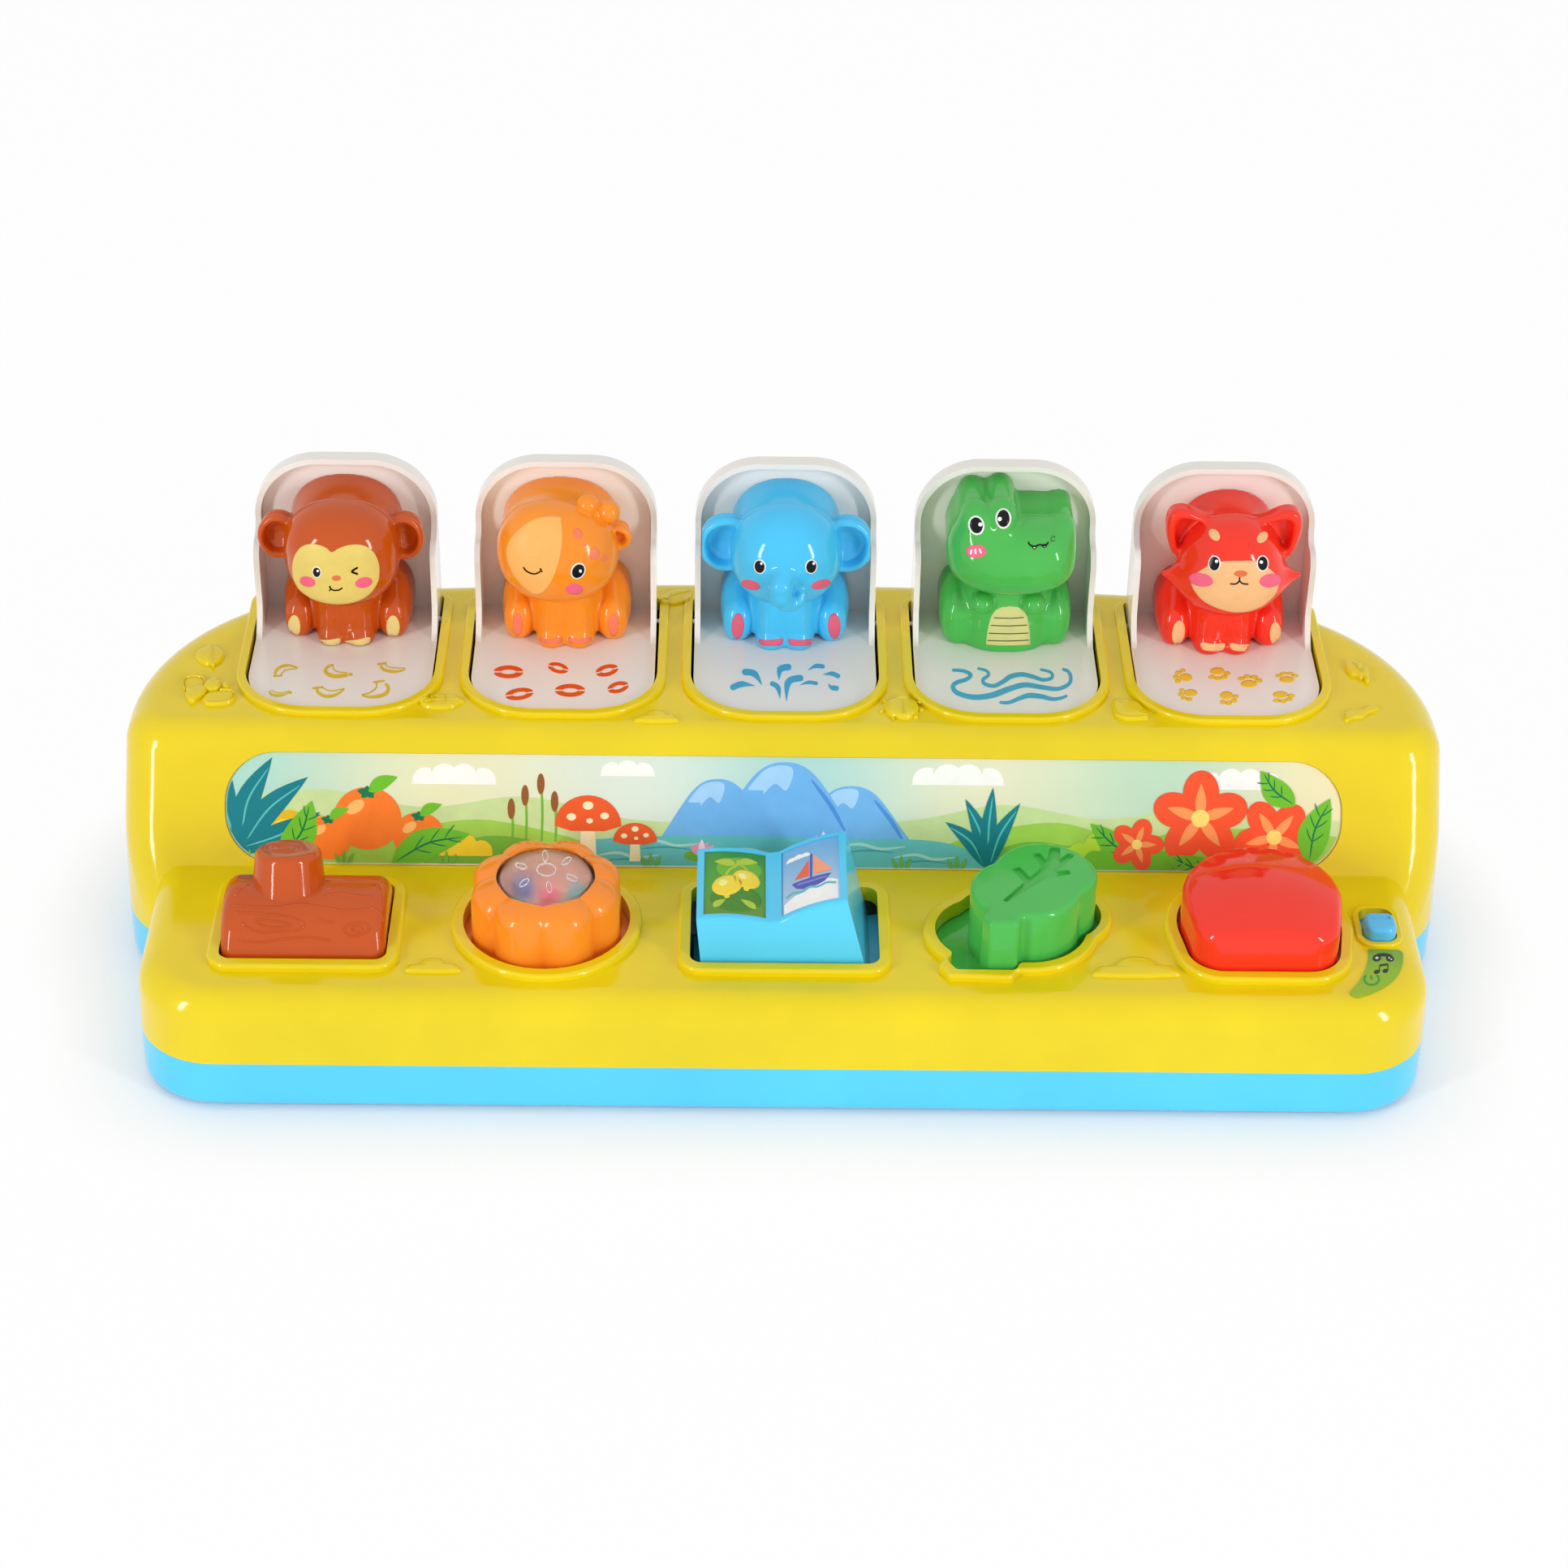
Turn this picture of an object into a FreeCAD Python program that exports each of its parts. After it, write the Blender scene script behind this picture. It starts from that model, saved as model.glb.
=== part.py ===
import FreeCAD, Part
import math
import os

from FreeCAD import Vector

# Pop up animal toy, in millimetres. +X to the user's right, +Y to the back, +Z up.
# Origin: centre of the footprint, on the surface that the toy stands on.

# ---------------------------------------------------------------- driving dimensions
# housing
HUMP_HALF_W = 170.0        # half width of the hump, at its base
HUMP_BACK = 75.5           # rearmost point of the hump
HUMP_FRONT = -29.2         # front of the hump's foot, hidden under the step
HUMP_Z = 66.0              # hump deck
STEP_HALF_W = 160.0
STEP_FRONT = -75.5
STEP_Z = 34.0              # step deck
SPLIT_Z = 14.8             # joint between the tray and the top shell
TRAY_Z = 1.0               # underside of the tray; its feet reach the floor
WALL = 2.2
HUMP_EDGE_R = 9.0          # round edge between the hump's deck and its sides
HUMP_SLANT_R = 12.0        # round edge down each end of the leaning wall
STEP_EDGE_R = 7.0
TRAY_EDGE_R = 3.0
DRAFT = math.radians(2.0)
WALL_LEAN = math.radians(25.0)   # backward lean of the wall that carries the picture
WALL_FOOT_Y = -19.2              # where that wall meets the step deck
REAR_BOW_R = 1310.0              # slight bow of the hump's rear
REAR_CORNER_R = 62.0
FRONT_CORNER_R = 26.0
STEP_CORNER_R = 20.0

# doors
DOOR_PITCH = 57.5
DOOR_HALF_W = 23.7
DOOR_WALL = 2.0            # back of the lid
SIDE_T = 1.5               # side walls and rim of the lid
PLATE_T = 1.8              # floor plate
RIM_DEPTH = 5.0
BARREL_R = 2.4
DOOR_TOP_Z = 111.8
DOOR_CORNER_R = 17.0
HINGE_Y = 53.8
HINGE_Z = 62.6
HINGE_PIN_R = 1.0
LID_BACK_Y = HINGE_Y + 4.0
PLATE_FRONT_Y = HINGE_Y - (DOOR_TOP_Z - HINGE_Z)
DOOR_OPENING_HALF_W = 24.4
DOOR_GAP = 0.5
DOOR_RING_W = 2.4
DOOR_RING_H = 1.5

# controls, in a row on the step
CONTROL_PITCH = 59.3
CONTROL_RING_W = 3.0
CONTROL_RING_H = 2.0
HOLE_DEPTH = 15.0          # how far below the deck an opening is cut free
WINDOW_Y = (-60.4, -28.6)  # front and back edges of the log's and the book's openings
LOG_OPENING_HALF_W = 20.6
BOOK_OPENING_HALF_W = 23.4
FLOWER_Y = -42.8
FLOWER_OPENING_R = 20.8
RED_Y = -43.0
RED_OPENING_R = 20.6
LEAF_TRAVEL = 6.5
LEAF_FLANGE_X = (36.6, 87.2)
LEAF_FLANGE_MID_Y = -45.0
LEAF_FLANGE_HALF_Y = 20.9
LEAF_RAIL_X = (34.0, 84.0)
RAIL_Z = (27.0, 29.0)
RAIL_T = 0.8
RAIL_REACH = 2.8
SWITCH_X = 148.6
SWITCH_Y = (-48.2, -34.2)
FLANGE_Z = (29.4, 31.4)    # cover flanges run just under the step deck
PIN_R = 1.0
RUNNING_GAP = 0.04         # radial, between a pin and the bore that turns on it

LOG_R = 15.4
LOG_AXIS = (-44.2, 30.6)
LOG_END_GAP = 0.3
LOG_REST_TILT = -17.0
BOOK_AXIS_Z = 30.0
BOOK_FOOT = -8.0           # the book's lower edge, from its axis
BOOK_REST_TILT = -9.26
BOOK_Y = (-59.4, -29.0)
PAGE_X = (2.0, 16.9)       # inner and outer edge of each page, from the spine
PAGE_RIM = 2.0             # rim of the book in front of and behind the pages
PAGE_RECESS = 0.6

# electrics
CELL_R = 7.1
CELL_L = 50.0
CELL_PITCH = 15.0
BATTERY_SCREW_R = 1.4
SPEAKER_AT = (92.0, 6.0)
BOARD_AT = (-92.0, 3.0)
BOSS_R = 3.3               # round the housing screws, in the top shell
TRAY_BOSS_R = 4.6
SCREW_R = 1.4
SCREW_CLEAR_R = 1.7
SCREW_HEAD_ROOM_R = 3.3
SCREW_SEAT_Z = 9.0
SCREW_AT = [(-150.0, 27.0), (150.0, 27.0), (-91.0, -21.5), (91.0, -21.5), (-86.3, 67.2), (86.3, 67.2)]

DECK_UNDER = STEP_Z - WALL
HUMP_UNDER = HUMP_Z - WALL
SCREW_BOSS_TOP = [HUMP_UNDER, HUMP_UNDER, DECK_UNDER, DECK_UNDER, 50.0, 50.0]
TRAY_FLOOR = TRAY_Z + WALL
DOOR_X = [(i - 2) * DOOR_PITCH for i in range(5)]
CONTROL_X = [(i - 2) * CONTROL_PITCH for i in range(5)]
ANIMALS = ["monkey", "giraffe", "elephant", "crocodile", "fox"]
X_AXIS = Vector(1, 0, 0)
Y_AXIS = Vector(0, 1, 0)
Z_AXIS = Vector(0, 0, 1)


# ---------------------------------------------------------------- small helpers
def save(name, shape):
    shape.exportStep("parts/" + name + ".step")


def box(x0, x1, y0, y1, z0, z1):
    return Part.makeBox(x1 - x0, y1 - y0, z1 - z0, Vector(x0, y0, z0))


def rod(x, y, z0, z1, r):
    return Part.makeCylinder(r, z1 - z0, Vector(x, y, z0), Z_AXIS)


def rod_x(x0, x1, y, z, r):
    return Part.makeCylinder(r, x1 - x0, Vector(x0, y, z), X_AXIS)


def rod_y(x, y0, y1, z, r):
    return Part.makeCylinder(r, y1 - y0, Vector(x, y0, z), Y_AXIS)


def fuse(shapes):
    shapes = list(shapes)
    joined = shapes[0].fuse(shapes[1:]) if len(shapes) > 1 else shapes[0]
    return joined.removeSplitter()


def moved(shape, x=0.0, y=0.0, z=0.0):
    copy = shape.copy()
    copy.translate(Vector(x, y, z))
    return copy


def turned(shape, centre, axis, degrees):
    copy = shape.copy()
    copy.rotate(centre, axis, degrees)
    return copy


def prism(wire, direction):
    return Part.Face(wire).extrude(direction)


def closed_outline(steps, place):
    """Wire from steps: ('line', end) or ('arc', middle, end), each point a pair, the first ('at', start)."""
    here = steps[0][1]
    edges = []
    for step in steps[1:]:
        end = step[-1]
        if step[0] == "line":
            edges.append(Part.makeLine(place(*here), place(*end)))
        else:
            edges.append(Part.Arc(place(*here), place(*step[1]), place(*end)).toShape())
        here = end
    if math.dist(here, steps[0][1]) > 1e-6:
        edges.append(Part.makeLine(place(*here), place(*steps[0][1])))
    return Part.Wire(edges)


def rounded_rect(x0, x1, y0, y1, z, front_r, back_r):
    """Flat outline at height z with one radius at the front corners and one at the back ones."""
    k = 1.0 - math.sqrt(0.5)
    f, b = front_r, back_r
    steps = [
        ("at", (x0 + f, y0)), ("line", (x1 - f, y0)),
        ("arc", (x1 - f * k, y0 + f * k), (x1, y0 + f)), ("line", (x1, y1 - b)),
        ("arc", (x1 - b * k, y1 - b * k), (x1 - b, y1)), ("line", (x0 + b, y1)),
        ("arc", (x0 + b * k, y1 - b * k), (x0, y1 - b)), ("line", (x0, y0 + f)),
        ("arc", (x0 + f * k, y0 + f * k), (x0 + f, y0)),
    ]
    return closed_outline(steps, lambda x, y: Vector(x, y, z))


def slab(x0, x1, y0, y1, z0, z1, front_r, back_r):
    return prism(rounded_rect(x0, x1, y0, y1, z0, front_r, back_r), Vector(0, 0, z1 - z0))


def edges_where(shape, test):
    return [e for e in shape.Edges if test(e.BoundBox)]


def top_edges(shape, z, slack=0.01):
    return edges_where(shape, lambda b: b.ZMin > z - slack)


def round_over(shape, radius, test):
    return shape.makeFillet(radius, edges_where(shape, test))


def is_upright(b):
    """True for a straight vertical edge."""
    return b.ZMax - b.ZMin > 1 and b.XMax - b.XMin < 0.01 and b.YMax - b.YMin < 0.01


# ---------------------------------------------------------------- housing
def hump_outline(z, inset):
    """Plan outline of the hump: bowed rear, large rear corners, smaller front corners."""
    half_w = HUMP_HALF_W - inset
    front = HUMP_FRONT + inset
    rear_r, corner_r, front_r = REAR_BOW_R - inset, REAR_CORNER_R - inset, FRONT_CORNER_R - inset
    bow_y = HUMP_BACK - REAR_BOW_R
    corner_x = HUMP_HALF_W - REAR_CORNER_R
    corner_y = bow_y + math.sqrt((REAR_BOW_R - REAR_CORNER_R) ** 2 - corner_x ** 2)
    start = math.atan2(corner_y - bow_y, corner_x)
    tangent_x = rear_r * math.cos(start)
    tangent_y = bow_y + rear_r * math.sin(start)
    middle_x = corner_x + corner_r * math.cos(start / 2)
    middle_y = corner_y + corner_r * math.sin(start / 2)
    front_x = half_w - front_r
    k = front_r * math.sqrt(0.5)
    front_y = front + front_r
    steps = [
        ("at", (-tangent_x, tangent_y)), ("arc", (0, HUMP_BACK - inset), (tangent_x, tangent_y)),
        ("arc", (middle_x, middle_y), (half_w, corner_y)), ("line", (half_w, front_y)),
        ("arc", (front_x + k, front_y - k), (front_x, front)), ("line", (-front_x, front)),
        ("arc", (-front_x - k, front_y - k), (-half_w, front_y)), ("line", (-half_w, corner_y)),
        ("arc", (-middle_x, middle_y), (-tangent_x, tangent_y)),
    ]
    return closed_outline(steps, lambda x, y: Vector(x, y, z))


def wall_y(z):
    """Y of the leaning picture wall's outer face at height z."""
    return WALL_FOOT_Y + (z - STEP_Z) * math.tan(WALL_LEAN)


def hump_solid(inset):
    """Hump as a closed solid, pulled in by inset on every side but the bottom."""
    top_z = HUMP_Z - inset
    taper = (top_z - SPLIT_Z) * math.tan(DRAFT)
    body = Part.makeLoft([hump_outline(SPLIT_Z, inset), hump_outline(top_z, inset + taper)], True, True)
    shift = inset / math.cos(WALL_LEAN)
    cutter = Part.makePolygon([
        Vector(-200, wall_y(0) + shift, 0), Vector(-200, wall_y(90) + shift, 90),
        Vector(-200, -140, 90), Vector(-200, -140, 0), Vector(-200, wall_y(0) + shift, 0)])
    body = body.cut(prism(cutter, Vector(400, 0, 0)))
    body = round_over(body, HUMP_SLANT_R - inset, lambda b: b.ZMin < SPLIT_Z + 1 and b.ZMax > top_z - 1
                      and b.YMin < -10 and b.YMax - b.YMin > 5)
    return body.makeFillet(HUMP_EDGE_R - inset, top_edges(body, top_z))


def step_outline(z, inset):
    """Plan outline of the step, with rounded front corners; it runs back into the hump."""
    half_w, front, r = STEP_HALF_W - inset, STEP_FRONT + inset, STEP_CORNER_R - inset
    k = r * (1 - math.sqrt(0.5))
    steps = [
        ("at", (-half_w, 0)), ("line", (-half_w, front + r)),
        ("arc", (-half_w + k, front + k), (-half_w + r, front)), ("line", (half_w - r, front)),
        ("arc", (half_w - k, front + k), (half_w, front + r)), ("line", (half_w, 0)),
    ]
    return closed_outline(steps, lambda x, y: Vector(x, y, z))


def step_solid(inset):
    """Front step as a closed solid that runs back into the hump."""
    top_z = STEP_Z - inset
    taper = (top_z - SPLIT_Z) * math.tan(DRAFT)
    rings = [step_outline(z, pull) for z, pull in ((SPLIT_Z, inset), (top_z, inset + taper))]
    body = Part.makeLoft(rings, True, True)
    return round_over(body, STEP_EDGE_R - inset, lambda b: b.ZMin > top_z - 0.01 and b.YMin < -5)


def ring_and_hole(wire_at, z_deck, height, width, notch_r=0.0, depth=WALL):
    """Raised ring round an opening, and the tool that cuts the opening; wire_at(z, grow) is its outline."""
    outer = prism(wire_at(z_deck - depth, width), Vector(0, 0, height + depth))
    hole = prism(wire_at(z_deck - HOLE_DEPTH, 0.0), Vector(0, 0, HOLE_DEPTH + height + 5))
    if notch_r:
        outer = round_over(outer, notch_r, is_upright)
        hole = round_over(hole, notch_r, is_upright)
    return outer.makeFillet(height * 0.45, top_edges(outer, z_deck + height)), hole


def door_opening(x):
    def outline(z, grow):
        half = DOOR_OPENING_HALF_W + grow
        front = PLATE_FRONT_Y - DOOR_GAP - grow
        back = LID_BACK_Y + DOOR_GAP + 0.2 + grow
        return rounded_rect(x - half, x + half, front, back, z, DOOR_CORNER_R + DOOR_GAP + grow,
                            2.0 + 1.7 * grow)
    return outline


def window_opening(x, half_w):
    def outline(z, grow):
        return rounded_rect(x - half_w - grow, x + half_w + grow, WINDOW_Y[0] - grow, WINDOW_Y[1] + grow,
                            z, 3.0 + grow, 3.0 + grow)
    return outline


def circle_outline(x, y, r):
    def outline(z, grow):
        return Part.Wire(Part.makeCircle(r + grow, Vector(x, y, z)))
    return outline


def red_outline(x, y, r):
    """Round behind, squarer in front: two tangent corners and a flat front edge."""
    corner_r = r - 11.8
    cx = cy = 10.3
    lean = math.acos((r - corner_r) / math.hypot(cx, cy)) - math.radians(45)
    middle = (lean - math.pi / 2) / 2

    def outline(z, grow):
        big, small = r + grow, corner_r + grow
        front = -cy - small
        mid = (cx + small * math.cos(middle), -cy + small * math.sin(middle))
        low = (cx + small * math.cos(lean), -cy + small * math.sin(lean))
        high = (big * math.cos(lean), big * math.sin(lean))
        steps = [
            ("at", (-cx, front)), ("line", (cx, front)), ("arc", mid, low), ("line", high),
            ("arc", (0, big), (-high[0], high[1])), ("line", (-low[0], low[1])),
            ("arc", (-mid[0], mid[1]), (-cx, front)),
        ]
        return closed_outline(steps, lambda u, v: Vector(x + u, y + v, z))
    return outline


LEAF_POINTS = {
    "stem_left": (49.8, -61.2), "stem_right": (56.8, -61.0), "front_notch": (58.0, -57.8),
    "front_lobe": (67.2, -55.8), "right_notch": (73.2, -47.6), "right_lobe": (77.6, -40.4),
    "right_back": (75.4, -33.2), "back_lobe": (65.8, -26.8), "back_notch": (52.2, -35.2),
    "left_lobe": (45.8, -44.6), "left_notch": (49.6, -54.6), "stem_side": (47.8, -57.4),
}
LEAF_LEFT_SIDE = ("stem_left", "stem_side", "left_notch", "left_lobe", "back_notch")
LEAF_CENTRE = (62.4, -45.2)
LEAF_NOTCH_R = 1.6
LEAF_ROOM = 1.4            # gap between the leaf and its opening


def leaf_outline(z, grow=0.0, left=0.0, right=0.0):
    """Lobed leaf with a blunt stem at its front left; left and right move its two sides apart."""
    mx, my = LEAF_CENTRE

    def at(name):
        px, py = LEAF_POINTS[name]
        factor = 1 + grow / math.dist((px, py), LEAF_CENTRE)
        shift = left if name in LEAF_LEFT_SIDE else right
        if name == "back_lobe":
            shift = (left + right) / 2
        return (mx + (px - mx) * factor + shift, my + (py - my) * factor)

    steps = [
        ("at", at("stem_left")), ("line", at("stem_right")), ("line", at("front_notch")),
        ("arc", at("front_lobe"), at("right_notch")), ("arc", at("right_lobe"), at("right_back")),
        ("arc", at("back_lobe"), at("back_notch")), ("arc", at("left_lobe"), at("left_notch")),
        ("line", at("stem_side")),
    ]
    return closed_outline(steps, lambda x, y: Vector(x, y, z))


def leaf_opening(z, grow):
    """The slider's outline with room for its travel to the left."""
    return leaf_outline(z, LEAF_ROOM + grow, -LEAF_TRAVEL - 0.4, 0.4)


def switch_opening(z, grow):
    return rounded_rect(SWITCH_X - 4.3 - grow, SWITCH_X + 4.3 + grow, SWITCH_Y[0] - grow,
                        SWITCH_Y[1] + grow, z, 3.0 + grow, 3.0 + grow)


def wall_frame(shape):
    """Carry a shape from the flat XY plane onto the leaning wall: x along, y up the wall, z outwards."""
    copy = shape.copy()
    copy.rotate(Vector(0, 0, 0), X_AXIS, 90)
    copy.rotate(Vector(0, 0, 0), X_AXIS, -math.degrees(WALL_LEAN))
    copy.translate(Vector(0, WALL_FOOT_Y, STEP_Z))
    return copy


PANEL_HALF_W = 142.0
PANEL_H = 29.3
PANEL_R = 13.0
PANEL_RECESS = 0.8
STICKER_T = 0.25


def panel_plate(z0, z1, grow=0.0):
    wire = rounded_rect(-PANEL_HALF_W - grow, PANEL_HALF_W + grow, 0.6 - grow, PANEL_H + grow, z0,
                        PANEL_R + grow, PANEL_R + grow)
    return wall_frame(prism(wire, Vector(0, 0, z1 - z0)))


def bearing_lug_x(x0, x1, y, z, half_y=3.2, drop=3.0):
    """Lug under the step deck that carries a pin along X."""
    return box(x0, x1, y - half_y, y + half_y, z - drop, DECK_UNDER).cut(rod_x(x0 - 1, x1 + 1, y, z, PIN_R))


def bearing_lug_y(y0, y1, x, z, half_x=3.2, drop=3.0):
    return box(x - half_x, x + half_x, y0, y1, z - drop, DECK_UNDER).cut(rod_y(x, y0 - 1, y1 + 1, z, PIN_R))


def leaf_rails():
    """Two ledges under the deck that the leaf's flange slides on."""
    rails = []
    for side in (-1, 1):
        y = LEAF_FLANGE_MID_Y + side * (LEAF_FLANGE_HALF_Y + RAIL_T + 0.1)
        post = box(LEAF_RAIL_X[0], LEAF_RAIL_X[1], y - RAIL_T, y + RAIL_T, RAIL_Z[0], DECK_UNDER)
        y0, y1 = sorted((y - side * RAIL_REACH, y + side * RAIL_T))
        ledge = box(LEAF_RAIL_X[0], LEAF_RAIL_X[1], y0, y1, *RAIL_Z)
        rails.append(post.fuse(ledge))
    return rails


def top_shell():
    outer = hump_solid(0.0).fuse(step_solid(0.0))
    inner = hump_solid(WALL).fuse(step_solid(WALL))
    shell = outer.cut(inner)
    openings = []
    for x in DOOR_X:
        ring, hole = ring_and_hole(door_opening(x), HUMP_Z, DOOR_RING_H, DOOR_RING_W, depth=HOLE_DEPTH)
        openings.append((ring.cut(hump_solid(WALL)), hole))
    control_outlines = [
        window_opening(CONTROL_X[0], LOG_OPENING_HALF_W),
        circle_outline(CONTROL_X[1], FLOWER_Y, FLOWER_OPENING_R),
        window_opening(CONTROL_X[2], BOOK_OPENING_HALF_W),
        red_outline(CONTROL_X[4], RED_Y, RED_OPENING_R),
    ]
    openings += [ring_and_hole(o, STEP_Z, CONTROL_RING_H, CONTROL_RING_W) for o in control_outlines]
    openings.append(ring_and_hole(leaf_opening, STEP_Z, CONTROL_RING_H, CONTROL_RING_W, LEAF_NOTCH_R))
    openings.append(ring_and_hole(switch_opening, STEP_Z, 1.0, 1.5))
    bosses = [rod(x, y, SPLIT_Z, top + 0.5, BOSS_R) for (x, y), top in zip(SCREW_AT, SCREW_BOSS_TOP)]
    log_y, log_z = LOG_AXIS
    lugs = [bearing_lug_x(CONTROL_X[0] + s, CONTROL_X[0] + s + 2.0, log_y, log_z) for s in (-22.8, 20.8)]
    lugs += [bearing_lug_y(y, y + 2.0, 0.0, BOOK_AXIS_Z) for y in (WINDOW_Y[0] - 3.0, WINDOW_Y[1] + 1.0)]
    shell = shell.fuse([o[0] for o in openings] + bosses + lugs + leaf_rails())
    shell = shell.cut([o[1] for o in openings])
    shell = shell.cut(panel_plate(-PANEL_RECESS, 3.0, 0.15)).cut(door_hinge_pins())
    shell = shell.cut([rod(x, y, SPLIT_Z - 1, SPLIT_Z + 14, SCREW_R) for x, y in SCREW_AT])
    return shell.removeSplitter()


FEET_X = (-140.0, 140.0)
FEET_Y = (-55.0, 45.0)
FOOT_R = 6.0
POCKET_HALF_X = CELL_L / 2 + 1.2
POCKET_Y = (-26.0, -26.0 + 3 * CELL_PITCH + 1.0)
POCKET_WALL = 1.8
POCKET_TOP = 18.4
DOOR_T = 1.5               # battery door
DOOR_LIP = 1.5             # how far that door overlaps the pocket's edge
DOOR_SCREW_Y = POCKET_Y[1] + 5.6
SHAFT_R = 3.0              # stems of the flower knob and the red button
SHAFT_BORE_R = SHAFT_R + RUNNING_GAP
SPRING_SEAT_Z = 12.0
GRILLE_HOLE_R = 1.3
GRILLE_RINGS = ((0.0, 1), (6.0, 6), (12.0, 12))   # radius of each ring of holes, and how many


def battery_door_slab(grow, z0, z1):
    return slab(-POCKET_HALF_X - DOOR_LIP - grow, POCKET_HALF_X + DOOR_LIP + grow,
                POCKET_Y[0] - DOOR_LIP - grow, POCKET_Y[1] + 10.0 + grow, z0, z1, 1.5, 1.5)


def tray_body():
    """Outside of the tray as a closed solid, with a rounded lower edge."""
    depth = Vector(0, 0, SPLIT_Z - TRAY_Z)
    hump = prism(hump_outline(TRAY_Z, 0.0), depth)
    step = prism(step_outline(TRAY_Z, 0.0), depth)
    hump = round_over(hump, TRAY_EDGE_R, lambda b: b.ZMax < TRAY_Z + 0.01)
    step = round_over(step, TRAY_EDGE_R, lambda b: b.ZMax < TRAY_Z + 0.01 and b.YMin < -5)
    return hump.fuse(step)


def tray_room():
    """Space inside the tray's walls, above its floor."""
    depth = Vector(0, 0, SPLIT_Z - TRAY_FLOOR)
    hump = prism(hump_outline(TRAY_FLOOR, WALL), depth)
    return hump.fuse(prism(step_outline(TRAY_FLOOR, WALL), depth))


def base_tray():
    outside = tray_body()
    tray = outside.cut(tray_room())
    feet = [rod(x, y, 0, TRAY_Z + 0.5, FOOT_R) for x in FEET_X for y in FEET_Y]
    bosses = [rod(x, y, TRAY_Z, SPLIT_Z, TRAY_BOSS_R).common(outside) for x, y in SCREW_AT]
    half_x, (y0, y1) = POCKET_HALF_X, POCKET_Y
    pocket = box(-half_x - POCKET_WALL, half_x + POCKET_WALL, y0 - POCKET_WALL, y1 + POCKET_WALL, TRAY_Z,
                 POCKET_TOP + 1.6)
    rim = battery_door_slab(POCKET_WALL, TRAY_Z, TRAY_Z + DOOR_T + 1.6)
    screw_boss = rod(0, DOOR_SCREW_Y, TRAY_Z, 10.0, 3.4)
    flower_post = rod(CONTROL_X[1], FLOWER_Y, TRAY_FLOOR - 0.5, 17.0, 5.5)
    red_post = rod(CONTROL_X[4], RED_Y, TRAY_FLOOR - 0.5, 18.0, 5.2).fuse(
        rod(CONTROL_X[4], RED_Y, TRAY_FLOOR - 0.5, SPRING_SEAT_Z, 8.0))
    tray = tray.fuse(feet + bosses + [pocket, rim, screw_boss, flower_post, red_post])
    cuts = [box(-half_x, half_x, y0, y1, TRAY_Z, POCKET_TOP)]
    cuts.append(battery_door_slab(0.2, TRAY_Z - 1, TRAY_Z + DOOR_T))
    cuts.append(rod(0, DOOR_SCREW_Y, TRAY_Z, 8.5, BATTERY_SCREW_R))
    cuts += [rod(x, y, TRAY_Z - 1, SCREW_SEAT_Z, SCREW_HEAD_ROOM_R) for x, y in SCREW_AT]
    cuts += [rod(x, y, SCREW_SEAT_Z - 1, SPLIT_Z + 1, SCREW_CLEAR_R) for x, y in SCREW_AT]
    cuts.append(rod(CONTROL_X[1], FLOWER_Y, 6.0, 20.0, SHAFT_BORE_R))
    cuts.append(rod(CONTROL_X[4], RED_Y, 4.2, 20.0, SHAFT_BORE_R))
    sx, sy = SPEAKER_AT
    for ring, count in GRILLE_RINGS:
        for i in range(count):
            a = 2 * math.pi * i / count
            hole_x, hole_y = sx + ring * math.cos(a), sy + ring * math.sin(a)
            cuts.append(rod(hole_x, hole_y, TRAY_Z - 1, TRAY_FLOOR + 1, GRILLE_HOLE_R))
    return tray.cut(cuts)


def picture_panel():
    return panel_plate(-PANEL_RECESS, -PANEL_RECESS + STICKER_T)


def mode_sticker():
    steps = [
        ("at", (145.2, -50.2)), ("line", (152.2, -50.4)), ("arc", (153.3, -51.0), (153.5, -52.4)),
        ("arc", (150.4, -61.6), (140.4, -69.6)), ("arc", (138.6, -69.2), (138.6, -67.0)),
        ("arc", (143.2, -58.6), (145.2, -50.2)),
    ]
    wire = closed_outline(steps, lambda x, y: Vector(x, y, STEP_Z - 1.0))
    cap = prism(wire, Vector(0, 0, 3))
    return cap.common(step_solid(-STICKER_T)).cut(step_solid(0.0))


# ---------------------------------------------------------------- mechanism inside the hump
CHEEK_IN = DOOR_HALF_W + 0.6
CHEEK_T = 2.0
RAIL_TOP = 48.0


def hinge_cheek(x0):
    """Upright cheek with a rounded head that carries one end of a hinge pin."""
    r = 3.4
    top = HINGE_Z + 0.4
    steps = [
        ("at", (HINGE_Y - r, top - r * 0.5)),
        ("arc", (HINGE_Y, HUMP_UNDER - 0.3), (HINGE_Y + r, top - r * 0.5)),
        ("line", (62.0, 50.0)), ("line", (62.0, TRAY_FLOOR)), ("line", (52.0, TRAY_FLOOR)),
        ("line", (HINGE_Y - r, 40.0)), ("line", (HINGE_Y - r, top - r * 0.5)),
    ]
    plate = prism(closed_outline(steps, lambda y, z: Vector(x0, y, z)), Vector(CHEEK_T, 0, 0))
    return plate.cut(rod_x(x0 - 1, x0 + CHEEK_T + 1, HINGE_Y, HINGE_Z, HINGE_PIN_R))


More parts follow.
